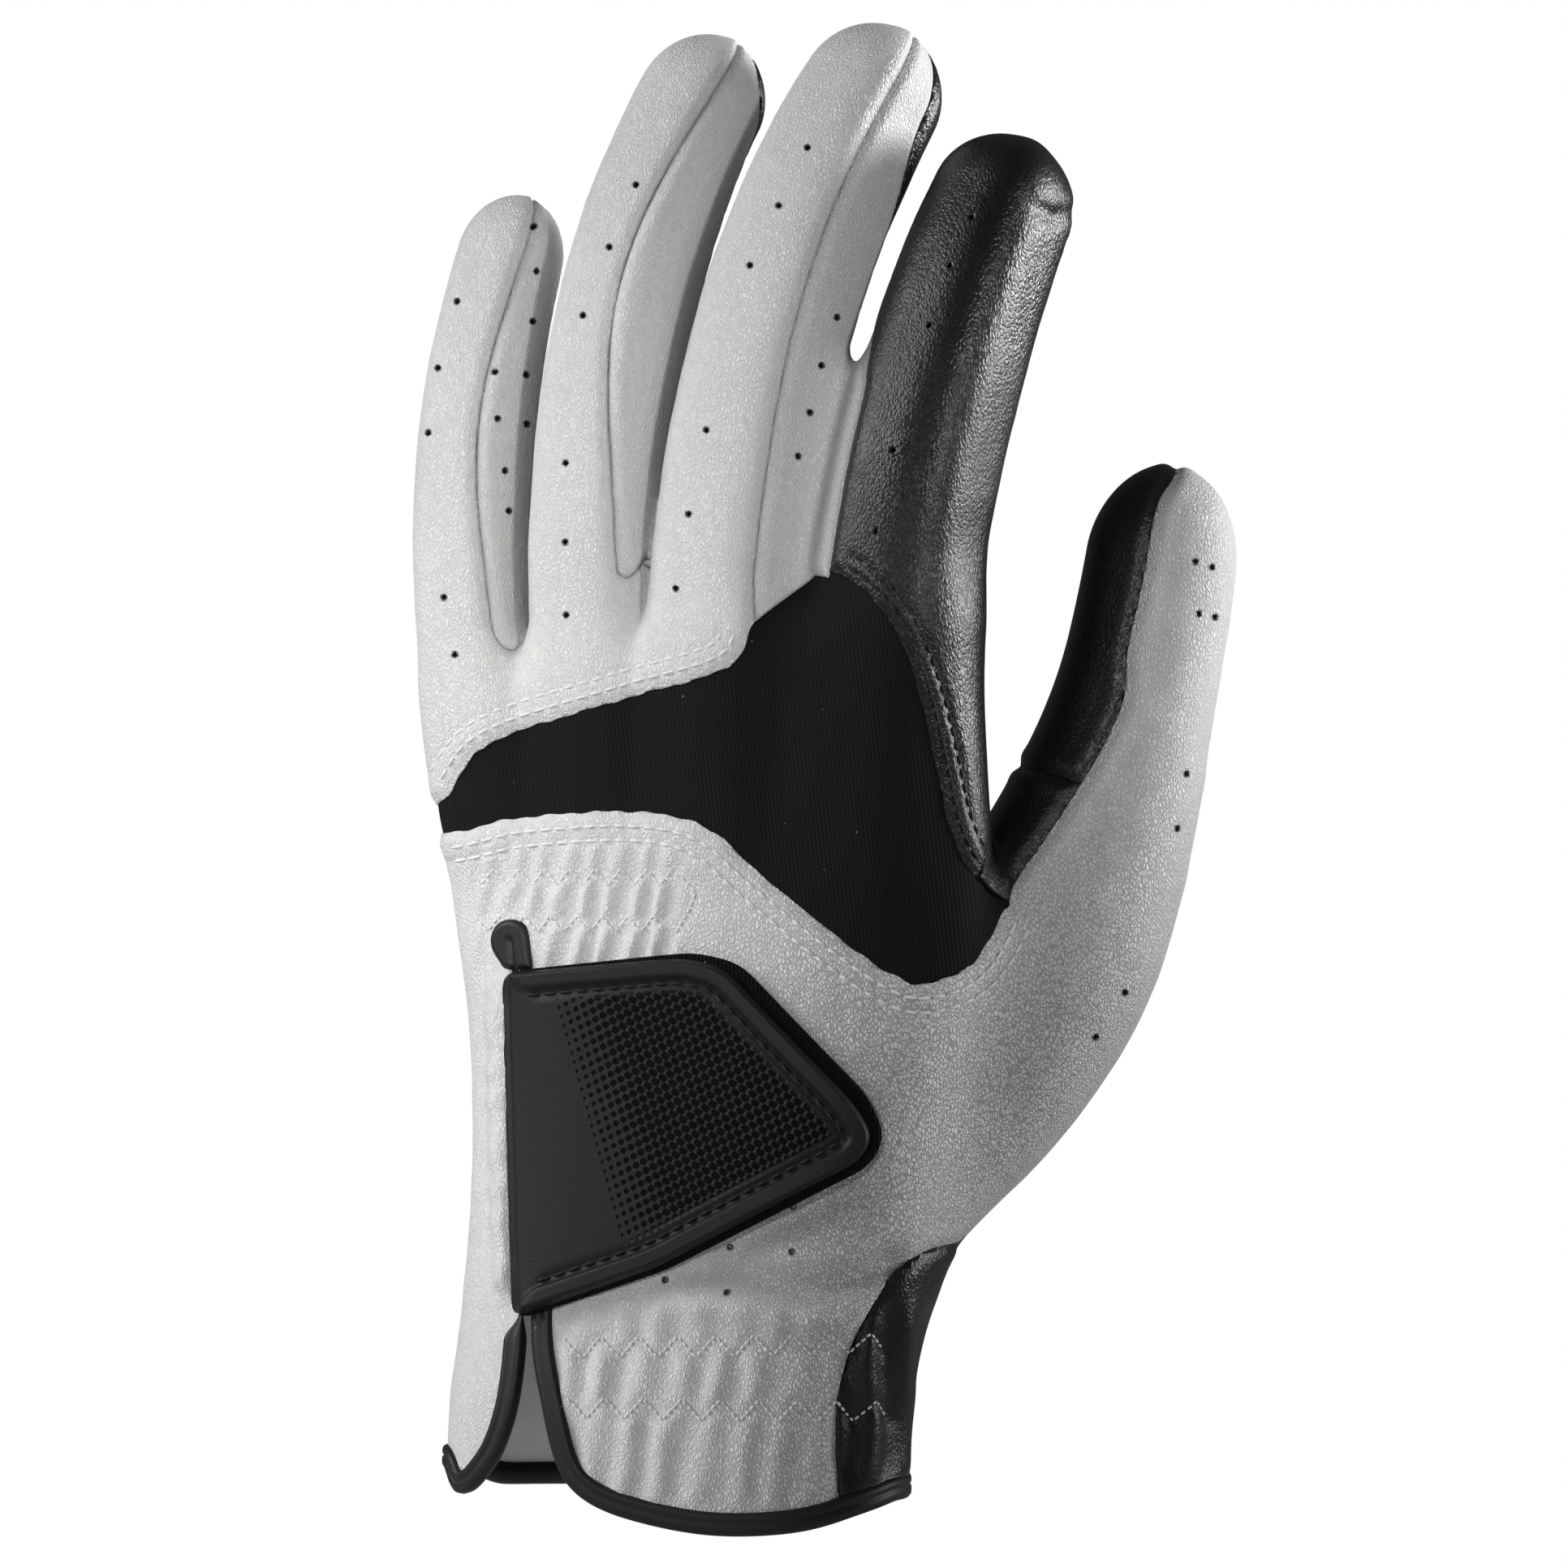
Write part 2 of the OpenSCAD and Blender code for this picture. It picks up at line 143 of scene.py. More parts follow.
def shape_field(loop, x, z):
    """Signed distance to a closed outline in the plane, above nought inside, by even-odd crossings."""
    loop = np.asarray(loop, float)
    closed = np.concatenate([loop, loop[:1]])
    odd = np.zeros(x.shape, bool)
    for (ax, az), (bx, bz) in zip(closed[:-1], closed[1:]):
        if az != bz:
            odd ^= ((az > z) != (bz > z)) & (x < ax + (z - az) * (bx - ax) / (bz - az))
    return np.where(odd, 1, -1) * line_distance(closed, x, z)


def soft_min(a, b, k):
    """Smaller of two fields, rounded over where they are within k of each other."""
    h = np.maximum(k - np.abs(a - b), 0) / k
    return np.minimum(a, b) - h * h * k / 4


def step_up(x, low, high):
    """Nought below low, one above high, smooth between."""
    t = np.clip((x - low) / (high - low), 0, 1)
    return t * t * (3 - 2 * t)


def bell(x, width):
    """Bell curve of that half width, one in the middle."""
    return np.exp(-(x / width) ** 2)


def digit_half(name, u):
    """Half width of a digit at u: fingers thin towards the tip, the thumb swells at its ball."""
    half = DIGITS[name][1]
    u = np.clip(u, 0, 1)
    if name == "thumb":
        return half + 5 * np.sin(np.pi * np.clip(u / 0.8, 0, 1)) ** 2 - 2.2 * u ** 3
    return half * (1 - 0.16 * (np.maximum(0, u - 0.45) / 0.55) ** 2 - 0.06 * (1 - u) ** 4)


def digit_place(name, p):
    """Where points lie on a digit: u of the nearest place on its curve, by height and then Newton steps,
    and the offsets across it and out of its back there."""
    path, half, turn = DIGITS[name]
    a0, a1, a2 = np.array(path, float)
    lead, curl = 2 * (a1 - a0), a0 - 2 * a1 + a2
    drop = a0[2] - p[:, 2]
    u = -2 * drop / (lead[2] + np.sqrt(np.maximum(lead[2] ** 2 - 4 * curl[2] * drop, 0)))
    for newton in range(3):
        u = np.clip(u, -0.2, 1.25)
        off = a0 + lead * u[:, None] + curl * (u * u)[:, None] - p
        slope = lead + 2 * curl * u[:, None]
        speed = (slope * slope).sum(1)
        u = u - (off * slope).sum(1) / np.maximum(speed + 2 * (off * curl).sum(1), 0.3 * speed)
    u = np.clip(u, -0.2, 1.25)
    slope = lead + 2 * curl * u[:, None]
    along = slope / np.linalg.norm(slope, axis=1)[:, None]
    side = np.array([np.cos(np.radians(turn)), -np.sin(np.radians(turn)), 0])
    across = side - (along @ side)[:, None] * along
    across /= np.linalg.norm(across, axis=1)[:, None]
    out = np.cross(across, along)
    q = p - (a0 + lead * u[:, None] + curl * (u * u)[:, None])
    return u, (q * across).sum(1), (q * out).sum(1)


def digit_field(name, p):
    """Distance from a digit's skin: a rounded square round its curve, closed by a half-round tip."""
    u, a, b = digit_place(name, p)
    w = digit_half(name, u)
    radial = (np.abs(a) ** SIDE_POWER + np.abs(b) ** SIDE_POWER) ** (1 / SIDE_POWER) / w
    tip = np.maximum(0, (u - 0.9) / 0.1)
    root = np.maximum(0, -u / 0.1)
    return (np.sqrt(radial ** 2 + tip ** 2 + root ** 2) - 1) * w


table_z = np.linspace(-14, 160, 349)
table = smooth_line(SECTIONS, 8)
TABLE = np.stack([np.interp(table_z, table[:, 0], table[:, k]) for k in (1, 2, 3)], 1)


def hand_place(p):
    """Turned section coordinates of points on the hand, with its half width and half thickness there."""
    lift = p[:, 2] - 0.16 * p[:, 0] * (np.maximum(0, p[:, 2]) / CROTCH_Z) ** 4
    mid = np.interp(lift, table_z, TABLE[:, 0])
    wide = np.interp(lift, table_z, TABLE[:, 1])
    deep = np.interp(lift, table_z, TABLE[:, 2])
    wide = np.sqrt(wide ** 2 - (deep * np.sin(HAND_TURN)) ** 2) / np.cos(HAND_TURN)
    x, y = p[:, 0] - mid, p[:, 1] - HAND_Y
    r = x * np.cos(HAND_TURN) - y * np.sin(HAND_TURN)
    d = -x * np.sin(HAND_TURN) - y * np.cos(HAND_TURN)
    return r, d, wide, deep, lift


def hand_field(p):
    """Distance from the hand's skin: a turned rounded square, divided by its slope, closed over the
    knuckles."""
    r, d, wide, deep, lift = hand_place(p)
    a, b = np.abs(r / wide) + 1e-6, np.abs(d / deep) + 1e-6
    total = a ** HAND_POWER + b ** HAND_POWER
    g = total ** (1 / HAND_POWER)
    rise = (a ** (HAND_POWER - 1) / wide) ** 2 + (b ** (HAND_POWER - 1) / deep) ** 2
    slope = g / total * np.sqrt(rise)
    round_field = (g - 1) / slope
    return -soft_min(-round_field, KNUCKLE_TOP - lift, 9)


def near(points, name):
    """Points close enough to a digit to be worth measuring."""
    path, half, turn = DIGITS[name]
    box = np.array(path, float)
    reach = half + 17
    return ((points > box.min(0) - reach) & (points < box.max(0) + reach)).all(1)


def glove_form(p):
    """Distance from the whole glove's skin: hand, fingers and thumb run together with soft corners, and
    a web of leather fills the foot of the gap beside the index."""
    fingers = np.full(len(p), 40.0)
    for name in FINGERS:
        pick = near(p, name)
        z = p[pick, 2]
        web = 7.5 * step_up(z, 128, 142) * step_up(-z, -186, -177) * (name == "index")
        fingers[pick] = soft_min(fingers[pick], digit_field(name, p[pick]), 1.4 + web)
    form = soft_min(hand_field(p), fingers, 7)
    pick = near(p, "thumb")
    corner = 10 - 6.5 * step_up(p[pick, 2], 90, 106)
    form[pick] = soft_min(form[pick], digit_field("thumb", p[pick]), corner)
    return form


def form_normals(p):
    """Outward normals of the form, from its rise along each axis."""
    e = 0.08
    rise = np.stack([glove_form(p + e * axis) - glove_form(p - e * axis) for axis in np.eye(3)], 1)
    return rise / np.maximum(np.linalg.norm(rise, axis=1), 1e-9)[:, None], rise / (2 * e)


FORM_BOX = np.array([[-49.0, -30, -9], [86, 32, 236]])
BLOCK = 4


def lattice(*axes):
    """Every combination of three axes' numbers, as rows."""
    return np.stack(np.meshgrid(*axes, indexing="ij"), -1).reshape(-1, 3)


def near_field(h):
    """Form's field on a grid of step h: worked out in the blocks near the skin, and elsewhere the value at
    the middle of the block."""
    low, high = FORM_BOX
    blocks = np.ceil((high - low) / (BLOCK * h)).astype(int)
    grid = lattice(*[np.arange(n) for n in blocks])
    rough = glove_form(low + (grid + 0.5) * BLOCK * h)
    field = rough.reshape(blocks)
    for axis in range(3):
        field = np.repeat(field, BLOCK, axis)
    close = np.abs(rough) < BLOCK * h * 1.5
    inner = lattice(*[np.arange(BLOCK)] * 3)
    nodes = (grid[close][:, None] * BLOCK + inner[None]).reshape(-1, 3)
    field[tuple(nodes.T)] = glove_form(low + nodes * h)
    return field


def cell_points(field):
    """One point in each grid cell that the skin passes through, at the mean of the crossings on its edges,
    in grid steps; and each cell's number, -1 where it has none."""
    solid = field < 0
    corners = lattice([0, 1], [0, 1], [0, 1])
    size = np.array(field.shape) - 1
    count = sum(solid[a:a + size[0], b:b + size[1], c:c + size[2]].astype(int) for a, b, c in corners)
    mixed = (count > 0) & (count < len(corners))
    cell = np.argwhere(mixed)
    number = np.full(mixed.shape, -1)
    number[mixed] = np.arange(len(cell))
    total, hits = np.zeros((len(cell), 3)), np.zeros(len(cell))
    for a in corners:
        for axis in np.flatnonzero(a == 0):
            b = a + np.eye(3, dtype=int)[axis]
            fa, fb = field[tuple((cell + a).T)], field[tuple((cell + b).T)]
            cross = (fa < 0) != (fb < 0)
            t = np.where(cross, fa / np.where(cross, fa - fb, 1), 0)
            total += cross[:, None] * (a + t[:, None] * (b - a))
            hits += cross
    return cell + total / hits[:, None], number


def skin_quads(solid, number):
    """Quads between the cells round each grid edge that crosses the skin, facing outwards."""
    size = np.array(number.shape)
    step = np.eye(3, dtype=int)
    quads = []
    for axis in range(3):
        one, two = (axis + 1) % 3, (axis + 2) % 3
        here = np.moveaxis(solid, axis, 0)
        flip = np.argwhere(here[:-1] != here[1:])
        edge = np.zeros_like(flip)
        edge[:, [axis] + [k for k in range(3) if k != axis]] = flip
        beside = edge[:, [one, two]]
        edge = edge[((beside > 0) & (beside < size[[one, two]])).all(1)]
        ring = [edge - step[one] - step[two], edge - step[two], edge, edge - step[one]]
        quad = np.stack([number[tuple(c.T)] for c in ring], 1)
        inside = solid[tuple(edge.T)]
        quads.append(np.where(inside[:, None], quad, quad[:, ::-1]))
    quads = np.concatenate(quads)
    return quads[(quads >= 0).all(1)]


def form_surface(h):
    """Skin of the form as triangles on a grid of step h: points in the cells it passes through are put on
    it by two Newton steps, and the quads between them are cut along their shorter diagonal."""
    field = near_field(h)
    places, number = cell_points(field)
    points = FORM_BOX[0] + h * places
    quads = skin_quads(field < 0, number)
    for newton in range(2):
        rise = form_normals(points)[1]
        points = points - (glove_form(points) / np.maximum((rise ** 2).sum(1), 0.05))[:, None] * rise
    one_way = np.linalg.norm(points[quads[:, 0]] - points[quads[:, 2]], axis=1)
    other_way = np.linalg.norm(points[quads[:, 1]] - points[quads[:, 3]], axis=1)
    short = (one_way < other_way)[:, None]
    first = np.where(short, quads[:, [0, 1, 2]], quads[:, [0, 1, 3]])
    second = np.where(short, quads[:, [0, 2, 3]], quads[:, [1, 2, 3]])
    return points, np.concatenate([first, second])


def clip(points, faces, data, field):
    """Part of a triangle net where the field is above nought, cut straight across the triangles on its
    border. data holds values of each point, which are carried along the cut edges."""
    keep = field > 0
    count = keep[faces].sum(1)
    whole = faces[count == 3]
    new_faces, cut_a, cut_b = [whole], [], []
    base = len(points)
    for wanted in (1, 2):
        part = faces[count == wanted]
        odd = np.argmax(keep[part] if wanted == 1 else ~keep[part], 1)
        rows = np.arange(len(part))
        a, b, c = part[rows, odd], part[rows, (odd + 1) % 3], part[rows, (odd + 2) % 3]
        one = base + np.arange(len(part))
        two = one + len(part)
        base += 2 * len(part)
        cut_a += [a, a]
        cut_b += [b, c]
        if wanted == 1:
            new_faces.append(np.stack([a, one, two], 1))
        else:
            new_faces.append(np.stack([one, b, c], 1))
            new_faces.append(np.stack([one, c, two], 1))
    cut_a, cut_b = np.concatenate(cut_a), np.concatenate(cut_b)
    t = (field[cut_a] / (field[cut_a] - field[cut_b]))[:, None]
    everything = np.concatenate([points, data], 1)
    cut = everything[cut_a] + t * (everything[cut_b] - everything[cut_a])
    everything = np.concatenate([everything, cut])
    faces = np.concatenate(new_faces)
    # Doubled cut points are merged by the edge that they lie on
    pair = np.sort(np.stack([cut_a, cut_b], 1), 1)
    key, back = np.unique(pair[:, 0] * (len(points) + 1) + pair[:, 1], return_inverse=True)
    first = np.zeros(len(key), int)
    first[back[::-1]] = np.arange(len(back))[::-1]
    rename = np.concatenate([np.arange(len(points)), len(points) + first[back]])
    faces = rename[faces]
    used, faces = np.unique(faces, return_inverse=True)
    faces = faces.reshape(-1, 3)
    good = (faces[:, 0] != faces[:, 1]) & (faces[:, 1] != faces[:, 2]) & (faces[:, 2] != faces[:, 0])
    everything = everything[used]
    return everything[:, :3], faces[good], everything[:, 3:]


def make_piece(name, points, faces, material, nodes=(), body="glove", wall=0.0):
    """Mesh object at the origin, in metres, smooth shaded, with a wall inwards if it has a thickness."""
    mesh = bpy.data.meshes.new(name)
    faces = np.asarray(faces)
    corners = faces.shape[1]
    mesh.vertices.add(len(points))
    mesh.vertices.foreach_set("co", (np.asarray(points) * MM).astype(np.float32).ravel())
    mesh.loops.add(faces.size)
    mesh.loops.foreach_set("vertex_index", faces.astype(np.int32).ravel())
    mesh.polygons.add(len(faces))
    mesh.polygons.foreach_set("loop_start", np.arange(0, faces.size, corners, dtype=np.int32))
    mesh.polygons.foreach_set("use_smooth", np.ones(len(faces), bool))
    mesh.update(calc_edges=True)
    mesh.validate()
    mesh.materials.append(material)
    piece = bpy.data.objects.new(name, mesh)
    bpy.context.scene.collection.objects.link(piece)
    if wall:
        solid = piece.modifiers.new("wall", "SOLIDIFY")
        solid.thickness = wall * MM
        solid.offset = -1
    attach(piece, body)
    if nodes:
        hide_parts(*nodes)
    return piece


def set_values(piece, name, values):
    """Attribute of a piece's points."""
    mark = piece.data.attributes.new(name, "FLOAT", "POINT")
    mark.data.foreach_set("value", values.astype(np.float32))


def back_points(x, z, steps=64):
    """Points of the glove's back seen from the front at X and Z, with their normals: the first crossing
    along Y, halved in closer."""
    y = np.linspace(-31, 22, steps)
    cloud = np.stack([np.repeat(x, steps), np.tile(y, len(x)), np.repeat(z, steps)], 1)
    solid = (glove_form(cloud) < 0).reshape(len(x), steps)
    hit = np.argmax(solid, 1)
    miss = ~solid.any(1)
    high = y[np.where(miss, steps - 1, hit)]
    low = y[np.where(miss, steps - 1, np.maximum(hit - 1, 0))]
    for halving in range(14):
        mid = (low + high) / 2
        inside = glove_form(np.stack([x, mid, z], 1)) < 0
        high = np.where(inside, mid, high)
        low = np.where(inside, low, mid)
    points = np.stack([x, (low + high) / 2, z], 1)
    return points, form_normals(points)[0]


# Finishes


def add(tree, kind, inputs=None, **settings):
    """Node of that kind with its settings; an input that is a socket is linked, any other is set."""
    item = tree.nodes.new(kind)
    for key, value in settings.items():
        setattr(item, key, value)
    for key, value in (inputs or {}).items():
        if isinstance(value, bpy.types.NodeSocket):
            tree.links.new(value, item.inputs[key])
        else:
            item.inputs[key].default_value = value
    return item


def new_group(name, ins, outs):
    """Empty shader node group with named inputs and outputs."""
    group = bpy.data.node_groups.new(name, "ShaderNodeTree")
    for label, kind in ins:
        group.interface.new_socket(label, in_out="INPUT", socket_type=kind)
    for label, kind in outs:
        group.interface.new_socket(label, in_out="OUTPUT", socket_type=kind)
    return group, group.nodes.new("NodeGroupInput"), group.nodes.new("NodeGroupOutput")


def math(tree, way, a, b=None, clamp=False):
    """Output of a Math node."""
    inputs = {0: a}
    if b is not None:
        inputs[1] = b
    return add(tree, "ShaderNodeMath", inputs, operation=way, use_clamp=clamp).outputs[0]


def vector(tree, way, inputs):
    """Node of vector arithmetic."""
    return add(tree, "ShaderNodeVectorMath", inputs, operation=way)


def ranged(tree, value, low, high, to_low=0.0, to_high=1.0, smooth=True):
    """Value carried from one range to another, smoothly or in a straight line."""
    inputs = {"Value": value, "From Min": low, "From Max": high, "To Min": to_low, "To Max": to_high}
    way = "SMOOTHSTEP" if smooth else "LINEAR"
    return add(tree, "ShaderNodeMapRange", inputs, interpolation_type=way).outputs[0]


def noise(tree, place, scale, detail=2.0):
    """Noise texture node."""
    return add(tree, "ShaderNodeTexNoise", {"Vector": place, "Scale": scale, "Detail": detail})


def grain_group():
    """Pebbled leather: cells of a bent Voronoi pattern with creases between them, and large soft
    blotches."""
    group, into, out = new_group(
        "leather_grain", [("Place", "NodeSocketVector"), ("Cells", "NodeSocketFloat")],
        [("Height", "NodeSocketFloat"), ("Tone", "NodeSocketFloat")])
    place = into.outputs["Place"]
    bend = noise(group, place, 700.0).outputs["Color"]
    bend = vector(group, "SUBTRACT", {0: bend, 1: (0.5, 0.5, 0.5)}).outputs[0]
    bend = vector(group, "SCALE", {0: bend, "Scale": 0.0009}).outputs[0]
    bent = vector(group, "ADD", {0: place, 1: bend}).outputs[0]
    cells = add(group, "ShaderNodeTexVoronoi", {"Vector": bent, "Scale": into.outputs["Cells"]},
                feature="DISTANCE_TO_EDGE")
    dome = ranged(group, cells.outputs["Distance"], 0.0, 0.32)
    pores = noise(group, place, 3800.0, 3.0).outputs["Fac"]
    height = math(group, "ADD", math(group, "MULTIPLY", dome, 0.8), math(group, "MULTIPLY", pores, 0.35))
    group.links.new(height, out.inputs["Height"])
    group.links.new(noise(group, place, 55.0, 4.0).outputs["Fac"], out.inputs["Tone"])
    return group


# Dots of the tab: steps of their lattice in X and Z, its corner, and the first and last row across
DOT_STEPS = np.array([[0.39, -1.39], [1.53, -0.79]]) * MM
DOT_CORNER = (-0.023, 0, 0.083)
DOT_FIRST = -0.6
DOT_LAST = 7.0
DOT_RADIUS = (0.00027, 0.00067)
DOT_EDGE = 0.00009


def halftone_group():
    """Slanted lattice of dots that grow to the thumb side: the offset inside each lattice cell gives the
    distance from its dot, and the number of rows across gives the dot's radius."""
    group, into, out = new_group(
        "halftone", [("Place", "NodeSocketVector")], [("Dots", "NodeSocketFloat")])
    local = vector(group, "SUBTRACT", {0: into.outputs["Place"], 1: DOT_CORNER}).outputs[0]
    runs, offsets = [], []
    for step, share in zip(DOT_STEPS, np.linalg.inv(DOT_STEPS.T)):
        run = vector(group, "DOT_PRODUCT", {0: local, 1: (share[0], 0, share[1])}).outputs["Value"]
        part = math(group, "SUBTRACT", math(group, "FRACT", run), 0.5)
        runs.append(run)
        offsets.append(vector(group, "SCALE", {0: (step[0], 0, step[1]), "Scale": part}).outputs[0])
    offset = vector(group, "ADD", {0: offsets[0], 1: offsets[1]}).outputs[0]
    away = vector(group, "LENGTH", {0: offset}).outputs["Value"]
    radius = ranged(group, runs[1], DOT_FIRST, DOT_LAST, *DOT_RADIUS, smooth=False)
    dots = ranged(group, math(group, "SUBTRACT", radius, away), -DOT_EDGE, DOT_EDGE)
    begun = math(group, "GREATER_THAN", runs[1], DOT_FIRST)
    group.links.new(math(group, "MULTIPLY", dots, begun), out.inputs["Dots"])
    return group


GRAIN = grain_group()
HALFTONE = halftone_group()


def new_material(name):
    """Node material with its shader and the object's own coordinates."""
    material = bpy.data.materials.new(name)
    material.use_nodes = True
    tree = material.node_tree
    place = add(tree, "ShaderNodeTexCoord").outputs["Object"]
    return material, tree, tree.nodes["Principled BSDF"], place


def finish_bump(tree, shader, height, strength, distance):
    """Relief of a height on the shader's normal."""
    bump = add(tree, "ShaderNodeBump", {"Height": height, "Strength": strength, "Distance": distance})
    tree.links.new(bump.outputs[0], shader.inputs["Normal"])


def colours(tree, factor, first, second):
    """Colour between two by a factor."""
    mix = add(tree, "ShaderNodeMix", {"Factor": factor}, data_type="RGBA")
    mix.inputs[6].default_value = (*first, 1)
    mix.inputs[7].default_value = (*second, 1)
    return mix.outputs[2]


def leather(name, low, high, cells, rough, strength, shine=0.5, longer=1.0, deep=0.0):
    """Pebbled leather: blotches and the grain's cells set its tone, painted shade darkens it along marked
    seams and round perforations, and grain lifts the surface. Longer draws its cells out along the hand,
    and deep sets painted shade in the grain's creases towards the ball of the thumb, strongest low down."""
    material, tree, shader, place = new_material(name)
    drawn = add(tree, "ShaderNodeMapping", {"Vector": place, "Rotation": (0.0, -0.25, 0.0),
                                            "Scale": (1.0, 1.0, longer)}, vector_type="TEXTURE")
    grain = add(tree, "ShaderNodeGroup", {"Place": drawn.outputs[0], "Cells": cells}, node_tree=GRAIN)
    height, blotch = grain.outputs["Height"], grain.outputs["Tone"]
    tone = math(tree, "ADD", math(tree, "MULTIPLY", blotch, 0.5),
                math(tree, "MULTIPLY", height, 0.5), clamp=True)
    # Painted shade: the seam_gap attribute darkens the leather in a thin line along marked seams and to near
    # black at the rims and walls of perforations
    gap = add(tree, "ShaderNodeAttribute", attribute_name="seam_gap").outputs["Fac"]
    shade = ranged(tree, gap, -1.0, 0.4, 0.03, 1.0)
    # Painted shade: the grain's creases darken towards the ball of the thumb, more low on the hand, by deep;
    # the seam shade multiplies in
    axes = add(tree, "ShaderNodeSeparateXYZ", {0: place}).outputs
    thumb_ball_shade = ranged(tree, axes["X"], -0.012, 0.026, 0.0, deep)
    below = ranged(tree, axes["Z"], 0.07, 0.13, 1.0, 0.25)
    crease = ranged(tree, height, 0.2, 0.62, 1.0, 0.0, smooth=False)
    depth = math(tree, "MULTIPLY", math(tree, "MULTIPLY", thumb_ball_shade, below), crease)
    painted_shade_scale = math(tree, "MULTIPLY", math(tree, "SUBTRACT", 1.0, depth), shade)
    base = vector(tree, "SCALE", {0: colours(tree, tone, low, high), "Scale": painted_shade_scale})
    tree.links.new(base.outputs[0], shader.inputs["Base Color"])
    gloss = ranged(tree, blotch, 0.3, 0.7, rough - 0.06, rough + 0.06, smooth=False)
    tree.links.new(gloss, shader.inputs["Roughness"])
    finish_bump(tree, shader, height, strength, 0.0004)
    shader.inputs["Specular IOR Level"].default_value = shine
    return material


def waves(tree, place, scale, distortion, detail, direction):
    """Fine parallel waves, bent a little."""
    inputs = {"Vector": place, "Scale": scale, "Distortion": distortion, "Detail": detail}
    return add(tree, "ShaderNodeTexWave", inputs, bands_direction=direction)


def fabric(name, low, high, rough, pitch, turn, strength, fuzz=0.0, shine=0.3):
    """Ribbed cloth: fine waves along one direction, broken by noise, with a few dust specks."""
    material, tree, shader, place = new_material(name)
    spin = add(tree, "ShaderNodeMapping", {"Vector": place, "Rotation": (0.0, turn, 0.0)}).outputs[0]
    ribs = waves(tree, spin, 0.314 / (pitch * MM), 0.6, 2.0, "X")
    ribs.inputs["Detail Scale"].default_value = 3.0
    rows = waves(tree, spin, 0.63 / (pitch * MM), 0.8, 1.0, "Z")
    fibres = noise(tree, place, 2500.0, 3.0).outputs["Fac"]
    height = math(tree, "ADD", ribs.outputs["Fac"], math(tree, "MULTIPLY", rows.outputs["Fac"], 0.4))
    height = math(tree, "ADD", height, math(tree, "MULTIPLY", fibres, 0.3 + fuzz))
    tone = math(tree, "MULTIPLY", height, 0.55, clamp=True)
    dust = add(tree, "ShaderNodeTexVoronoi", {"Vector": place, "Scale": 210.0})
    speck = math(tree, "LESS_THAN", dust.outputs["Distance"], 0.035)
    mix = add(tree, "ShaderNodeMix", {"Factor": math(tree, "MULTIPLY", speck, 0.6)}, data_type="RGBA")
    tree.links.new(colours(tree, tone, low, high), mix.inputs[6])
    mix.inputs[7].default_value = (0.25, 0.25, 0.25, 1)
    tree.links.new(mix.outputs[2], shader.inputs["Base Color"])
    shader.inputs["Roughness"].default_value = rough
    shader.inputs["Specular IOR Level"].default_value = shine
    finish_bump(tree, shader, height, strength, 0.0003)
    return material


def moulded_rubber():
    """Satin rubber with a field of recessed, dull dots and a fine moulding grain."""
    material, tree, shader, place = new_material("moulded_rubber")
    dots = add(tree, "ShaderNodeGroup", {"Place": place}, node_tree=HALFTONE)
    inner = add(tree, "ShaderNodeAttribute", attribute_name="inner_field").outputs["Fac"]
    mask = math(tree, "MULTIPLY", dots.outputs["Dots"], inner)
    grain = noise(tree, place, 2600.0, 3.0).outputs["Fac"]
    base = colours(tree, mask, (0.009, 0.009, 0.0091), (0.0002, 0.0002, 0.0002))
    tree.links.new(base, shader.inputs["Base Color"])
    shader.inputs["Specular IOR Level"].default_value = 0.22
    rough = ranged(tree, grain, 0.0, 1.0, 0.42, 0.6, smooth=False)
    tree.links.new(math(tree, "MAXIMUM", rough, mask), shader.inputs["Roughness"])
    height = math(tree, "SUBTRACT", math(tree, "MULTIPLY", grain, 0.12), mask)
    finish_bump(tree, shader, height, 0.9, 0.0005)
    return material


def grey(value):
    """Even grey."""
    return (value, value, value)


# Its deep sets painted shade in the grain's creases towards the ball of the thumb
white_leather = leather("white_leather", (0.6, 0.59, 0.58), (0.8, 0.795, 0.785), 2150.0, 0.52, 0.6,
                        longer=1.8, deep=0.52)
black_leather = leather("black_leather", (0.003, 0.0029, 0.0028), (0.009, 0.0087, 0.0085), 1500.0,
                        0.36, 0.2, shine=0.36, longer=1.4)
suede = leather("inner_suede", (0.76, 0.76, 0.75), (0.88, 0.88, 0.87), 2600.0, 0.9, 0.2)
knit = fabric("knit", grey(0.003), (0.011, 0.011, 0.0112), 0.8, 0.62, 0.12, 0.3, shine=0.12)
tape = fabric("binding_tape", grey(0.004), grey(0.01), 0.5, 0.45, 0.6, 0.1, shine=0.35)
hook_fabric = fabric("hook_fabric", grey(0.002), grey(0.009), 0.95, 0.6, 0.0, 0.9, fuzz=1.0, shine=0.1)
elastic = fabric("elastic", (0.55, 0.55, 0.54), (0.75, 0.75, 0.74), 0.85, 0.7, 0.0, 0.4)
white_thread = fabric("white_thread", (0.7, 0.7, 0.68), (0.83, 0.83, 0.81), 0.65, 0.3, 0.7, 0.1)
black_thread = fabric("black_thread", grey(0.006), grey(0.02), 0.6, 0.3, 0.7, 0.4)
rubber = moulded_rubber()

# Seams seen from the front


def offset_line(line, distance):
    """Line moved sideways by a distance, to its left as it runs."""
    way = np.gradient(line, axis=0)
    way /= np.linalg.norm(way, axis=1)[:, None]
    return line + distance * np.stack([-way[:, 1], way[:, 0]], 1)


def zigzag(x0, x1, z, period, height, slope=0.0):
    """Zigzag line between two X, about a height Z that may slope."""
    x = np.arange(x0, x1, period / 2)
    return np.stack([x, z + slope * (x - x0) + height / 2 * np.where(np.arange(len(x)) % 2, -1, 1)], 1)


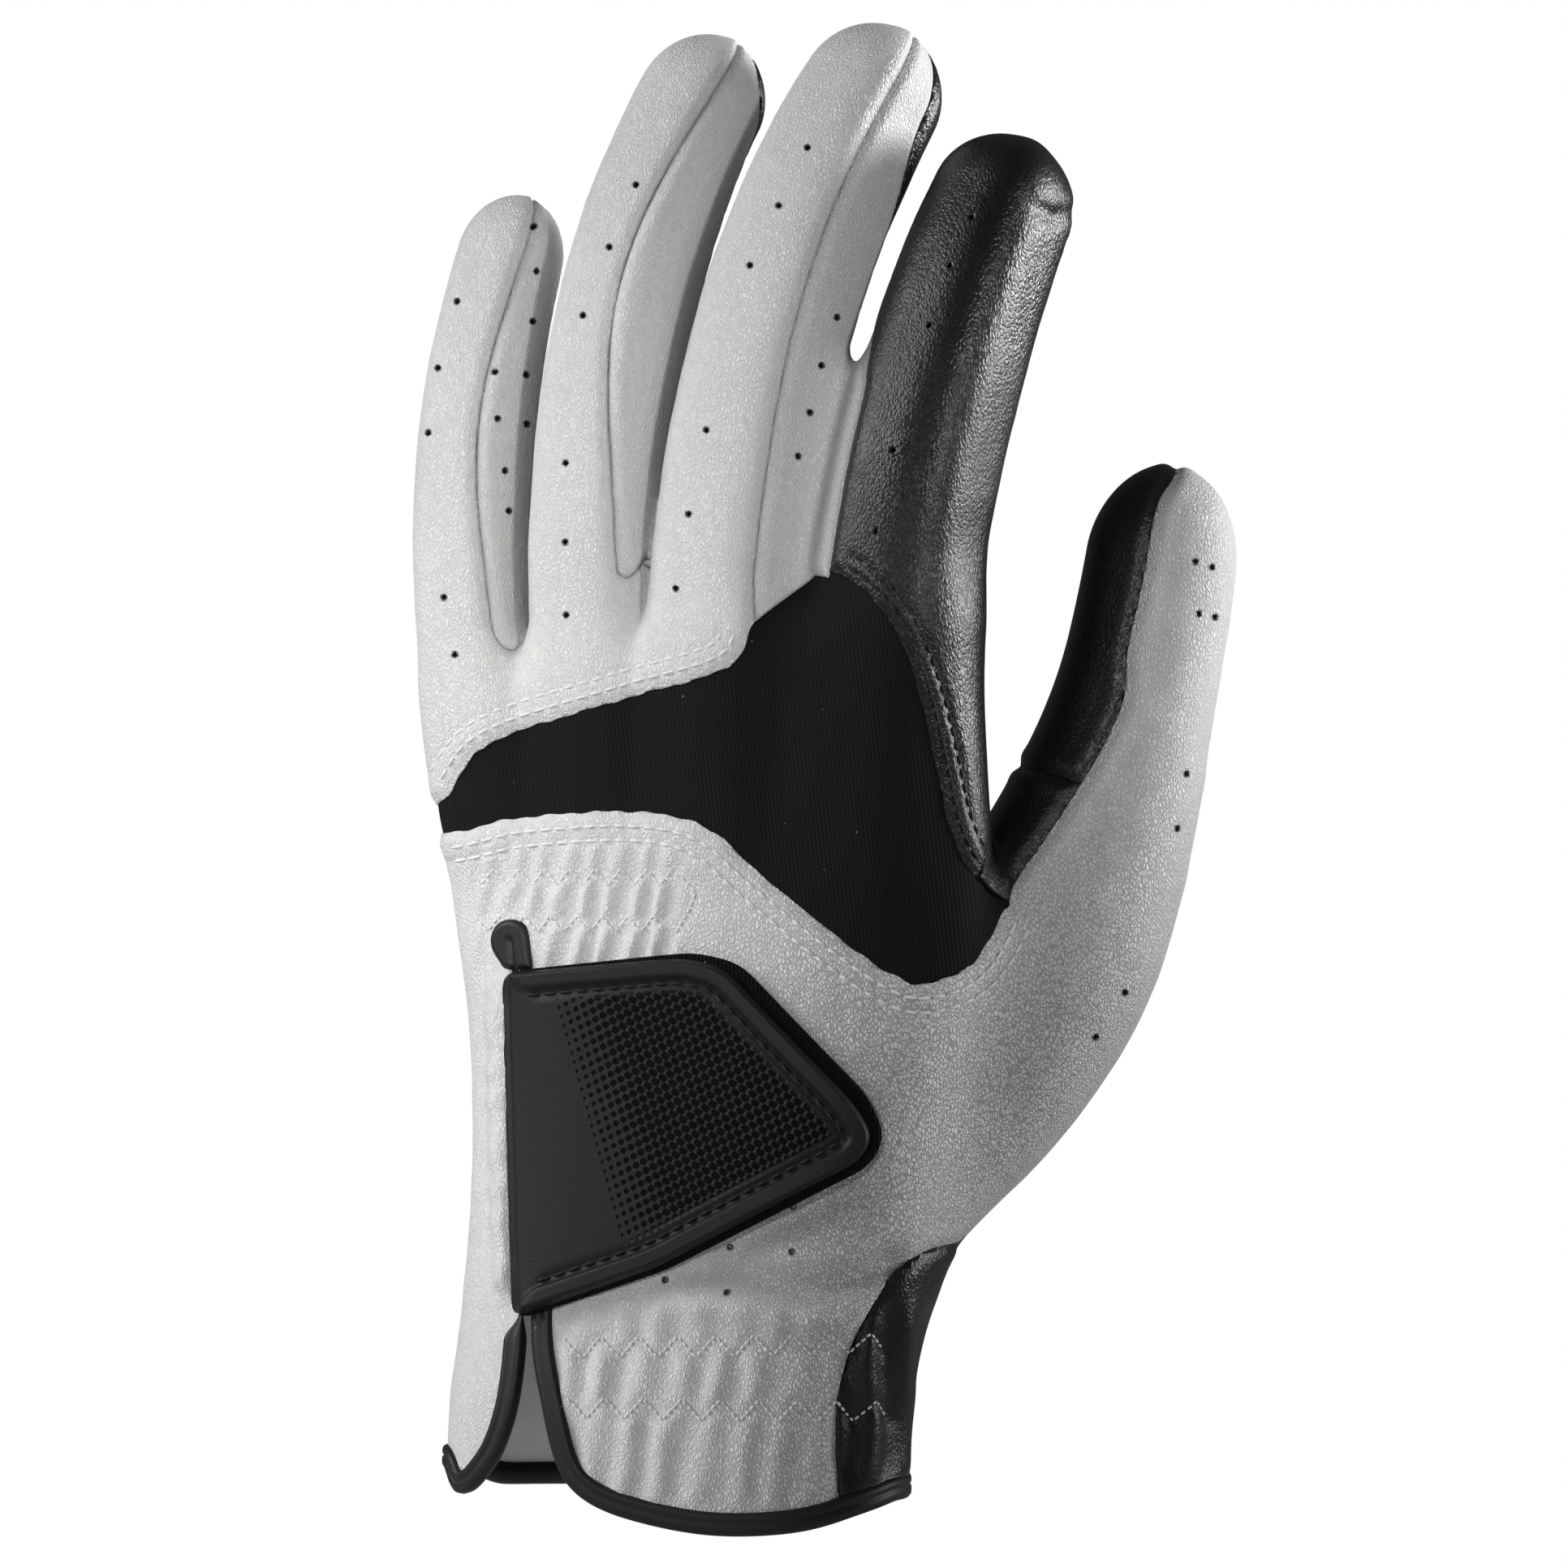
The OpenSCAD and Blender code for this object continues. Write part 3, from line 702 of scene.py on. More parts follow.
upper_line = even_line(smooth_line(KNIT_UPPER), 0.4)
lower_line = even_line(smooth_line(KNIT_LOWER), 0.4)
KNUCKLE_EDGE = upper_line[(upper_line[:, 0] > -39.8) & (upper_line[:, 0] < 6.4)]
INDEX_EDGE = upper_line[(upper_line[:, 0] > 20.5) & (upper_line[:, 0] < 41.4)]
BACK_EDGE = lower_line[(lower_line[:, 0] > -41) & (lower_line[:, 0] < 45.4)]
# Pitch of the gathers, pitch and first of the cuff's puckers, and the zigzag rows that draw them in
PUCKER = 3.95
CUFF_PITCH = 5.9
CUFF_START = -22.4
CUFF_ROWS = [zigzag(CUFF_START, 30.5, 27.9, CUFF_PITCH, 3.2, 0.02),
             zigzag(-21.6, 30, 18.7, CUFF_PITCH, 3.2, -0.005)]
GATHER_ROWS = [zigzag(-37, -4, 99.9, PUCKER, 2.7), zigzag(-36, -4.6, 92.8, PUCKER, 2.6)]
GATHER_END = np.array([[-6.2, 101.4], [-3.6, 99.6], [-1.9, 97.6], [-3, 94.6], [-5.1, 91]])
CORNER = np.concatenate([smooth_line(CUFF_CORNER), CORNER_FRAME])


def sewn_lines(edge, *insets):
    """Lines of stitching at distances in from an edge."""
    return [offset_line(edge, inset) for inset in insets]


KNUCKLE_SEWN = sewn_lines(KNUCKLE_EDGE, 2.0, 4.1)
BACK_SEWN = sewn_lines(BACK_EDGE, 2.2, 4.4)
INDEX_SEWN = sewn_lines(INDEX_EDGE, 1.6, 3.5)


def hollows(lines, x, z, width):
    """Sum of bell curves about several lines."""
    return sum(bell(line_distance(line, x, z), width) for line in lines)


def left_gap(x, z):
    """Distance from the tab's left edge, where the flap covers it."""
    return x - (-29 - 1.6 * (z - 32) / 53)


def ripple(x, size, seed):
    """Soft lumps: five sine waves of about that length, in fixed directions for the seed."""
    total = 0
    for k in range(5):
        turn = seed + 2.4 * k
        run = 2 * np.pi / size * (0.7 + 0.17 * k)
        total = total + np.sin(run * (x[:, 0] * np.cos(turn) + x[:, 1] * np.sin(turn)) + 1.7 * k + seed)
    return total / 5


def gather_lift(x, z):
    """Gathers of the back: leaning waves in bands above, between and below the zigzag rows, which lie in
    hollows."""
    calm = step_up(np.hypot(x + 30.1, (z - 89) * 0.7), 3.4, 6)
    fade = step_up(x, -38.5, -33) * step_up(-x, 2.5, 7) * calm
    lift = -0.22 * fade * hollows(GATHER_ROWS, x, z, 0.8) - 0.22 * hollows([GATHER_END], x, z, 0.8)
    for low, high, shift, lean, size in ((99.6, 106, 0.5, 0.12, 0.6), (92.4, 100.4, 0.0, 0.2, 1.1),
                                         (83, 93.4, 0.5, 0.3, 1.1)):
        run = (x - lean * (z - low)) / PUCKER + shift + 0.08 * np.sin(x * 0.7)
        wave = np.maximum(0.5 + 0.5 * np.cos(2 * np.pi * run), 0)
        band = step_up(z, low - 0.3, low + 2.2) * step_up(-z, -high - 0.3, -high + 2.2)
        lift += size * fade * band * (wave ** 1.4 - 0.35)
    return lift


def cuff_lift(x, z):
    """Puckers of the cuff: uneven waves in bands above, between and below its zigzag rows, which lie in
    hollows."""
    side = step_up(-x, -24, 12) * 0.75 + 0.25
    lift = -0.26 * hollows(CUFF_ROWS, x, z, 0.8)
    for low, high, size, shift in ((19, 28, 0.5, 0.0), (4, 18.6, 0.4, 0.5), (28.4, 35, 0.3, 0.5)):
        uneven = 0.35 * np.sin(0.31 * x + low) + 0.12 * np.sin(0.4 * z + 0.5 * x)
        run = (x - CUFF_START - 0.15 * (z - low)) / CUFF_PITCH + shift + 0.25 * uneven
        wave = np.cos(2 * np.pi * run) * (1 + uneven)
        band = step_up(z, low - 1.5, low + 2.5) * step_up(-z, -high - 1.5, -high + 2.5)
        lift += size * side * band * wave * step_up(x, -25.5, -21)
    return lift


FOLD = smooth_line([[-12, 37.6], [-3, 39.4], [6, 39], [14, 37.4], [21, 38], [28, 41]])
UNDER_TAB = np.array([[3.0, 43.4], [14.0, 49.0], [22.0, 53.4]])


def fold_lift(x, z):
    """Fold over the cuff: a crease with a swell below and above it, and a hollow under the tab's corner."""
    lift = -2.2 * hollows([FOLD], x, z, 2.6) * step_up(x, -10, 12)
    lift += 1.3 * hollows([FOLD + [0, -4.8]], x, z, 2.6) * step_up(x, -12, -2)
    lift += 0.5 * hollows([FOLD + [3, 5.5]], x, z, 3.2) * step_up(x, 2, 12)
    return lift - 1.5 * hollows([UNDER_TAB], x, z, 3.0)


def flap_lift(x, z):
    """Rolled edge of the flap beside the tab, a little wavy."""
    flap = step_up(-x, 28.6, 30.2) * step_up(z, 33, 38) * step_up(-z, -86, -80)
    edge = left_gap(x, z)
    roll = 2.3 * step_up(edge, -4.6, -1.4) - 0.5 * step_up(edge, -1.0, 0.3)
    return flap * (roll + 0.3 * np.sin(z * 1.0 + 1.3 * np.sin(z * 0.37)) * bell(edge + 2.2, 2.2))


def back_lift(x, z):
    """Height of the white back over the plain form: gathers, cuff puckers, the fold over the cuff, the
    flap's rolled edge, stitch hollows and soft lumps."""
    xz = np.stack([x, z], 1)
    lumps = 0.22 * ripple(xz, 17, 0.6) + 0.1 * ripple(xz, 6.5, 2.2)
    drawn_in = gather_lift(x, z) + cuff_lift(x, z)
    return lumps + drawn_in + fold_lift(x, z) + flap_lift(x, z) - 0.22 * hollows(BACK_SEWN, x, z, 0.55)


def corner_lift(x, z):
    """Height of the black cuff corner: it follows the white cuff beside it."""
    wave = np.cos(2 * np.pi * (x - CUFF_START) / CUFF_PITCH + 0.4 * np.sin(0.3 * z))
    lift = 0.7 * wave * step_up(z, 6, 10) * step_up(-z, -38, -30) - 0.4 * hollows(CUFF_ROWS, x, z, 0.9)
    return lift * step_up(x, 16, 19) * step_up(-z, -46, -40)


def seam_roll(d, depth=0.55, width=0.9):
    """Leather turned in at its edge: a drop at the seam and a low swell just inside it."""
    return -depth * bell(d, width) + 0.16 * bell(d - 2.1, 1.1)


def knuckle_lift(x, z):
    """Height of the white knuckles over the plain form: stitch hollows and soft lumps."""
    xz = np.stack([x, z], 1)
    lumps = 0.18 * ripple(xz, 19, 1.4) + 0.06 * ripple(xz, 7, 3.1)
    return lumps - 0.2 * hollows(KNUCKLE_SEWN, x, z, 0.55)


TIP_CREASE = np.array([[49.0, 203.0], [53.0, 201.5], [57.0, 202.5]])


def index_lift(x, z):
    """Height of the black index over the plain form: stitch hollows, one crease near the tip and soft
    lumps."""
    xz = np.stack([x, z], 1)
    lumps = 0.1 * ripple(xz, 21, 0.3) + 0.03 * ripple(xz, 6, 1.9)
    crease = 0.5 * hollows([TIP_CREASE], x, z, 1.3) * step_up(x, 46, 54)
    return lumps - 0.24 * hollows(INDEX_SEWN, x, z, 0.6) - crease


# Perforations in X and Z
HOLES = [[-26.8, 200.8], [-26.5, 193.6], [-27.0, 185.8], [-32.8, 177.9], [-32.4, 170.6],
         [-31.2, 162.6], [-30.6, 156.4], [-38.8, 188.9], [-41.6, 178.5], [-43.1, 168.5],
         [-40.6, 143.0], [-38.9, 134.2], [-28.0, 177.5], [-27.9, 169.9], [-11.0, 206.5],
         [-15.1, 196.9], [-19.2, 186.4], [-21.8, 163.6], [-21.8, 151.4], [-21.6, 140.2],
         [15.4, 212.0], [11.0, 203.0], [6.6, 193.8], [-0.1, 168.5], [-2.8, 155.6], [-4.8, 144.2],
         [20.0, 185.9], [17.6, 178.5], [15.8, 171.2], [14.0, 164.5], [40.6, 201.1], [37.2, 193.6],
         [34.0, 184.4], [28.5, 165.2], [25.9, 152.9], [75.0, 148.4], [77.6, 147.6], [75.6, 140.4],
         [78.1, 139.9], [73.6, 115.8], [76.9, 115.0], [72.2, 107.4], [75.5, 106.6], [64.1, 82.2],
         [59.6, 75.4], [-6.5, 38.4], [3.1, 43.6], [13.0, 42.8], [3.1, 36.6], [12.9, 49.8]]
HOLE_R = 0.42


def holes(data):
    """Distance past the rim of the nearest perforation, for leather that faces the front."""
    x, z = data[:, COLUMN["x"]], data[:, COLUMN["z"]]
    best = np.full(len(x), 9.0)
    for hx, hz in HOLES:
        best = np.minimum(best, np.hypot(x - hx, z - hz))
    return np.where(data[:, -2] < -0.2, best - HOLE_R, 9.0)


# Fields of the panels, measured once on each net


def palm_hem(x):
    """Height of the palm's hem: level, and raised at the little finger's side."""
    return PALM_HEM + 3.2 * step_up(-x, 32, 40)


def outline_zones(x, y, z):
    """Signed distances from the seams that are outlines seen from the front, and of the hand's palm, whose
    outline is seen from the fingertips, less the ball of the thumb."""
    upper, lower = smooth_line(KNIT_UPPER), smooth_line(KNIT_LOWER)
    # Turned edges pucker a little between their stitches; the knit runs on under them
    pucker = 0.1 * np.sin(1.7 * x + 0.4 * z) + 0.1 * np.sin(0.83 * x - 0.5 * z + 1)
    knit_under = 0.9
    zones = {
        "knit": shape_field(np.concatenate([upper, lower]), x, z) + knit_under,
        "above": shape_field(np.concatenate([upper, ABOVE_FRAME]), x, z) + pucker,
        "below": shape_field(np.concatenate([lower, BELOW_FRAME]), x, z) + pucker,
        "index": shape_field(np.concatenate([smooth_line(FINGER_GAP), INDEX_FRAME]), x, z),
        "white_thumb": shape_field(np.concatenate([smooth_line(THUMB_SIDE), THUMB_FRAME]), x, z),
        "corner": shape_field(CORNER, x, z),
        "hem": shape_field(np.concatenate([HEM, HEM_FRAME]), x, z),
        "palm": shape_field(np.concatenate([PALM_SEAM, PALM_FRAME]), x, y)}
    zones["hem"] = np.where(y > 0, np.minimum(zones["hem"], z - palm_hem(x)), zones["hem"])
    ball = soft_min(soft_min(x - 38.5, 10 - y, 16), 100 - z, 16)
    off_ball = np.where(ball > 0, -ball, np.minimum(np.abs(ball) + 0.01, 40))
    zones["palm"] = np.minimum(zones["palm"], off_ball)
    return zones


def digit_zones(p):
    """Nearest finger of points, with u and the turn in degrees on it, u on the thumb, and whether a point
    is the thumb's."""
    distance = np.full((5, len(p)), 40.0)
    u = np.zeros((5, len(p)))
    turn = np.zeros((5, len(p)))
    for k, name in enumerate(FINGERS + ["thumb"]):
        pick = near(p, name)
        distance[k, pick] = digit_field(name, p[pick])
        u[k, pick], a, b = digit_place(name, p[pick])
        turn[k, pick] = np.degrees(np.arctan2(b, a))
    nearest = distance[:4].argmin(0)
    on_thumb = (distance[4] < distance[:4].min(0)) & (p[:, 0] > 40)
    rows = np.arange(len(p))
    return nearest, u[nearest, rows], turn[nearest, rows], u[4], on_thumb


def fork_zones(p, nearest, u, turn, arc, grow):
    """Signed distances inside the fourchettes: each is a strip along the thumb side of one finger, down to
    a U at its foot, and a strip along the little side of the next."""
    x, y, z = p.T
    feet = [z - foot_z for foot_x, foot_z in FORK_FEET]
    ends = [foot - np.minimum(0.35 * (x - place[0]) ** 2, 12) for foot, place in zip(feet, FORK_FEET)]
    brow = np.interp(x, *np.transpose(KNIT_UPPER[4:8]))
    web_end = z - WEB_FOOT - np.maximum(brow - WEB_FOOT, 0) * step_up(-y, -6, 4)
    feet.append(web_end)
    ends.append(web_end)
    whole_turn = turn % 360
    sides = []
    for k in range(3):
        seam = FORK_TURN + SEAM_BULGE[k] * bell(u - 0.6, 0.25)
        first = np.minimum(np.minimum(seam - turn, turn + PALM_TURN - grow) * arc, ends[k])
        border = 180 - FORK_TURN - 22 * step_up(-u, -0.7, -0.56) * (k == 2)
        strip = np.minimum(whole_turn - border, 180 + PALM_TURN - whole_turn)
        second = np.minimum(strip * arc, feet[k])
        sides.append(np.where(nearest == k, first, np.where(nearest == k + 1, second, -2.0)))
    return sides


def zone_fields(p):
    """Signed distances from every seam for points of the skin, above nought on the named side, with u on
    the thumb, X and Z; returns the column of each name and the values."""
    x, y, z = p.T
    zones = outline_zones(x, y, z)
    nearest, u, turn, thumb_u, on_thumb = digit_zones(p)
    # Above the web each finger keeps its own side of the gap
    own_side = np.where(nearest == 3, 1, -1) * np.maximum(np.abs(zones["index"]), 4)
    zones["index"] = np.where((z > WEB_TOP) & ~on_thumb, own_side, zones["index"])
    arc = np.array([DIGITS[n][1] for n in FINGERS])[nearest] * np.pi / 180
    # The black palm comes round the right side of the ring and middle tips
    rounding = [22 * step_up(u, 0.88, 0.97), 26 * step_up(u, 0.72, 0.9)]
    grow = np.select([nearest == 1, nearest == 2], rounding, 0)
    past_back = np.abs((turn + 90 + 180) % 360 - 180) - (90 - PALM_TURN) - grow * (turn > -90)
    across = np.cos(np.radians(turn))
    at_web = np.where(nearest == 2, across > 0, (nearest == 3) & (across < 0))
    weight = np.where(at_web, step_up(z, WEB_FOOT - 3, WEB_FOOT + 0.5), step_up(u, 0.16, 0.28)) * ~on_thumb
    palm = zones["palm"] * (1 - weight) - past_back * arc * weight
    zones["palm"] = np.where(on_thumb, soft_min(palm, (0.5 - thumb_u) * THUMB_RUN, 18), palm)
    for k, side in enumerate(fork_zones(p, nearest, u, turn, arc, grow)):
        zones[f"side{k}"] = np.where(on_thumb, -2.0, side)
    zones["thumb_u"] = np.where(on_thumb, thumb_u, 0)
    zones["thumb"] = np.where(on_thumb, 1.0, -1.0)
    zones["x"] = x
    zones["z"] = z
    return {name: k for k, name in enumerate(zones)}, np.stack(list(zones.values()), 1)


def measured_net(h):
    """Skin of step h with the seams' fields and its normals measured on it, and the fields' columns."""
    points, faces = form_surface(h)
    columns, values = zone_fields(points)
    return (points, faces, np.concatenate([values, form_normals(points)[0]], 1)), columns


fine, COLUMN = measured_net(FINE)
coarse = measured_net(COARSE)[0]


def panel(net, fields):
    """Piece of the skin inside several fields, each a function of the net's values; returns points, faces,
    values and normals."""
    points, faces, data = net
    for make in fields:
        points, faces, data = clip(points, faces, data, make(data))
    normals = data[:, -3:]
    return points, faces, data, normals / np.linalg.norm(normals, axis=1)[:, None]


def col(name):
    """Field of a seam's named side."""
    k = COLUMN[name]
    return lambda data: data[:, k]


def less(name):
    """Field of a seam's other side."""
    k = COLUMN[name]
    return lambda data: -data[:, k]


def thumb_past(u):
    """Field of the thumb beyond a place along it."""
    return lambda data: (data[:, COLUMN["thumb_u"]] - u) * THUMB_RUN


def thumb_before(u):
    """Field of the thumb short of a place along it."""
    return lambda data: (u - data[:, COLUMN["thumb_u"]]) * THUMB_RUN


def front_part(data):
    """One on skin that faces the front, nought on skin that faces away."""
    return step_up(-data[:, -2], -0.2, 0.25)


def build(name, net, fields, material, nodes, seams=(), lift=None, pierced=False, sink=0.0,
          painted_shade_seams=()):
    """Panel of the skin, lowered or raised along its normals: it drops at its seams, carries its own folds
    on the side that faces the front, and has its perforations cut out. Seams passed to be shaded get a
    thin line of painted shade along them, and the rims of its perforations get painted shade too."""
    if pierced:
        fields = [*fields, holes]
    points, faces, data, normals = panel(net, fields)
    rise = np.full(len(points), -sink)
    if seams:
        rise += seam_roll(np.min([np.maximum(make(data), 0) for make in seams], axis=0))
    if lift:
        rise += lift(data[:, COLUMN["x"]], data[:, COLUMN["z"]]) * front_part(data)
    points = points + rise[:, None] * normals
    piece = make_piece(name, points, faces, material, nodes, wall=LEATHER)
    piece.data.materials.append(suede)
    piece.modifiers["wall"].material_offset = 1
    # Painted shade: distances that make a dark line along the shaded seams and a near-black ring in each
    # perforation
    gap = np.full(len(points), 9.0)
    for make in painted_shade_seams:
        gap = np.minimum(gap, np.maximum(make(data), 0) - 0.25)
    if pierced:
        gap = np.minimum(gap, 4 * np.maximum(holes(data), 0) - 1)
    set_values(piece, "seam_gap", gap)
    return piece


def white_zone(data):
    """Field of the white back with the thumb's white side."""
    return np.maximum(data[:, COLUMN["below"]], data[:, COLUMN["white_thumb"]])


def palm_zone(data):
    """Field of the palm with the cuff corner that it wraps round to."""
    corner = np.minimum(data[:, COLUMN["corner"]], data[:, COLUMN["hem"]])
    return np.maximum(data[:, COLUMN["palm"]], corner)


def palm_end(data):
    """Field above the palm's hem."""
    over_hem = data[:, COLUMN["z"]] - palm_hem(data[:, COLUMN["x"]])
    return np.where(data[:, COLUMN["palm"]] > -0.4, over_hem, 1)


not_sides = [less(f"side{k}") for k in range(3)]
finger_backs = [less("palm"), *not_sides, col("above")]
thumb_inside = [less("palm"), col("thumb"), less("white_thumb")]
panels = []
# Knuckles and fourchettes carry painted shade along the seams between them, and pierced panels round their
# perforations
panels.append(build(
    "knuckle_leather", fine, [*finger_backs, less("index"), less("thumb")],
    white_leather, ["knuckle_panel"],
    seams=[*finger_backs, less("index")], lift=knuckle_lift, pierced=True, painted_shade_seams=not_sides))
panels.append(build(
    "index_leather", fine, [*finger_backs, col("index"), less("white_thumb"), less("thumb")],
    black_leather, ["index_panel"],
    seams=[*finger_backs, col("index")], lift=index_lift, pierced=True))
panels.append(build(
    "knit_insert", fine, [less("palm"), *not_sides, col("knit"), less("white_thumb")],
    knit, ["stretch_insert"], sink=0.75))
panels.append(build(
    "back_leather", fine, [less("palm"), white_zone, less("corner"), col("hem")],
    white_leather, ["back_panel"],
    seams=[less("palm"), white_zone, less("corner")], lift=back_lift, pierced=True))
panels.append(build(
    "thumb_front_leather", fine, [*thumb_inside, thumb_past(GUSSET_TOP)],
    black_leather, ["thumb_front"],
    seams=[less("palm"), less("white_thumb"), thumb_past(GUSSET_TOP)]))
panels.append(build(
    "thumb_gusset_leather", fine,
    [*thumb_inside, col("above"), thumb_before(GUSSET_TOP), thumb_past(GUSSET_FOOT)],
    black_leather, ["thumb_gusset"],
    seams=[less("palm"), less("white_thumb"), thumb_before(GUSSET_TOP)]))
for k, node in enumerate(["fourchette_little_ring", "fourchette_ring_middle", "fourchette_middle_index"]):
    panels.append(build(node + "_leather", fine, [col(f"side{k}")], white_leather, [node],
                        seams=[col(f"side{k}")], painted_shade_seams=[col(f"side{k}")], pierced=True, sink=0.12))
panels.append(build(
    "palm_leather", coarse, [palm_zone, *not_sides, palm_end],
    black_leather, ["palm_panel"],
    seams=[palm_zone, *not_sides], lift=corner_lift))

# Slabs that lie on the back: closure, loop patch, anchor and elastics


def round_outline(points, radius, steps=5):
    """Closed outline with its corners rounded by arcs' quadratic curves of that reach."""
    pts = np.array(points, float)
    rounded = []
    for k in range(len(pts)):
        here, last, following = pts[k], pts[k - 1], pts[(k + 1) % len(pts)]
        r1 = min(radius, np.linalg.norm(last - here) / 2)
        r2 = min(radius, np.linalg.norm(following - here) / 2)
        a = here + (last - here) / np.linalg.norm(last - here) * r1
        b = here + (following - here) / np.linalg.norm(following - here) * r2
        t = np.linspace(0, 1, steps)[:, None]
        rounded.append((1 - t) ** 2 * a + 2 * t * (1 - t) * here + t ** 2 * b)
    return np.concatenate(rounded)


def slab(name, outline, low, high, material, nodes, body, spine, rings=26, step=0.5):
    """Closed slab over the back: rings run from the outline to a spine inside it, closest together at the
    rim, and lie on the skin raised by high(d, x, z); the same rings raised by low close it underneath. d is
    the distance from the outline. Returns the piece and d at its points."""
    rim = even_line(np.concatenate([outline, outline[:1]]), step)[:-1]
    way = spine[1] - spine[0]
    t = np.clip((rim - spine[0]) @ way / (way @ way), 0, 1)
    heart = spine[0] + t[:, None] * way
    run = np.linspace(0, 1, rings)[:, None, None] ** 1.6
    grid = (rim[None] * (1 - run) + heart[None] * run).reshape(-1, 2)
    skin, normals = back_points(grid[:, 0], grid[:, 1], 40)
    d = np.abs(shape_field(outline, grid[:, 0], grid[:, 1]))
    d[:len(rim)] = 0
    top = skin + normals * high(d, grid[:, 0], grid[:, 1])[:, None]
    under = skin + normals * low(d, grid[:, 0], grid[:, 1])[:, None]
    n, count = len(rim), len(grid)
    a = np.arange(n)
    b = (a + 1) % n
    faces = []
    for k in range(rings - 1):
        quad = np.stack([k * n + a, k * n + b, (k + 1) * n + b, (k + 1) * n + a], 1)
        faces += [quad, quad[:, ::-1] + count]
    faces.append(np.stack([a + count, b + count, b, a], 1))
    faces = np.concatenate(faces)
    points = np.concatenate([top, under])
    # The outline may run either way round: the slab's top has to face the front
    one, two = points[faces[:, 1]] - points[faces[:, 0]], points[faces[:, 2]] - points[faces[:, 0]]
    facing_y = np.cross(one, two)[:, 1]
    if facing_y[:n * 4].mean() > 0 and (facing_y[:n] > 0).mean() > 0.5:
        faces = faces[:, ::-1]
    return make_piece(name, points, faces, material, nodes, body), np.tile(d, 2)


# Height of the cover's field, and the sewn groove's distance in from its outline
FIELD = 3.4
GROOVE_IN = 3.75


def cover_high(d, x, z):
    """Top of the rubber cover: a raised rim on three sides, a stitched groove inside it, then the field,
    all sinking to the left edge under the flap."""
    left = left_gap(x, z)
    side = step_up(left - d, 0.1, 2.5)
    rim_top = 4.05 - 1.6 * np.clip(1 - d / 0.7, 0, 1) ** 2
    rise = rim_top + (FIELD - rim_top) * step_up(d, 2.45, 3.05)
    rise -= 0.35 * bell(d - GROOVE_IN, 0.75)
    rise = FIELD + (rise - FIELD) * side
    return 1.7 + (rise - 1.7) * step_up(left, -0.2, 2.6)


def cover_low(d, x, z):
    """Underside of the rubber cover, inside the pad's top."""
    return np.minimum(1.9, cover_high(d, x, z) - 0.3)


def pad_high(d, x, z):
    """Top of the hook pad, sinking with the cover to the left edge."""
    sunk = 1.3 + 0.55 * step_up(left_gap(x, z), 0, 3)
    return sunk - 0.25 * np.clip(1 - d / 0.4, 0, 1)


def pad_low(d, x, z):
    """Underside of the hook pad."""
    return pad_high(d, x, z) - 0.85


def level(height):
    """Constant height with a small rounding at the rim."""
    return lambda d, x, z: height - 0.25 * np.clip(1 - d / 0.4, 0, 1)


COVER = round_outline([[-30.6, 85], [-6, 87.3], [-1.6, 87.4], [3.6, 85.9], [22.4, 65.6], [25.2, 60.6],
                       [23.2, 56.6], [-6.4, 40.3], [-29, 32]], 2.6)
PAD = round_outline([[-30.2, 85.4], [-6, 88], [-1.2, 88.4], [5.2, 86.8], [24.6, 66.6], [27, 60.4],
                     [24.6, 55.8], [-6, 39.8], [-28.8, 31.8]], 2.6)
LOOP = round_outline([[-14, 83], [-3, 84], [3, 82], [20, 64.2], [21.6, 60.4], [19, 57.6], [4, 49],
                      [-6, 43.8], [-14, 40.8]], 2)
SPINE = np.array([[-22.0, 59.0], [8.0, 64.0]])
slab("tab_hooks", PAD, pad_low, pad_high, hook_fabric, ["tab_hook_pad"], "closure_tab",
     SPINE)
cover, cover_d = slab("tab_rubber", COVER, cover_low, cover_high, rubber,
                      ["tab_cover"], "closure_tab", SPINE, rings=60, step=0.4)
set_values(cover, "inner_field", step_up(cover_d, 4.6, 5.4))
slab("loop_fabric", LOOP, level(0.05), level(0.75), hook_fabric, ["loop_patch"], "glove",
     np.array([[-10.0, 62], [8, 63]]))
anchor = round_outline([[-34.4, 38], [-31.6, 38], [-31.6, 80], [-34.4, 80]], 0.8)
slab("hidden_anchor", anchor, level(-2.0), level(-1.1), black_leather, ["tab_anchor"],
     "glove", np.array([[-33.0, 42], [-33.0, 76]]), rings=5)
for node, x0, x1, z in (("back_elastic_upper", -34, -3, 101.5), ("back_elastic_lower", -25.5, -3, 91.5),
                        ("cuff_elastic_upper", -21, 26, 27.8), ("cuff_elastic_lower", -20, 26, 18.6)):
    band = round_outline([[x0, z - 2], [x1, z - 2], [x1, z + 2], [x0, z + 2]], 0.6)
    slab("hidden_" + node, band, level(-2.4), level(-1.6), elastic, [node], "glove",
         np.array([[x0 + 2, z], [x1 - 2, z]]), rings=5)

# Binding tape round the cuff, the slit and the keyhole


def skin_round(angle, z):
    """Points of the skin round the wrist, at an angle from the thumb side about its middle, by halving along
    the ray."""
    way = np.stack([np.cos(angle), np.sin(angle), np.zeros_like(angle)], 1)
    mid = np.stack([np.full_like(z, WRIST_X), np.full_like(z, HAND_Y), z], 1)
    low, high = np.zeros_like(z), np.full_like(z, 60.0)
    for halving in range(30):
        half = (low + high) / 2
        inside = hand_field(mid + way * half[:, None]) < 0
        low = np.where(inside, half, low)
        high = np.where(inside, high, half)
    return mid + way * low[:, None]


def wrist_angle(p):
    """Angle of a point from the thumb side about the wrist's middle."""
    return np.arctan2(p[1] - HAND_Y, p[0] - WRIST_X)


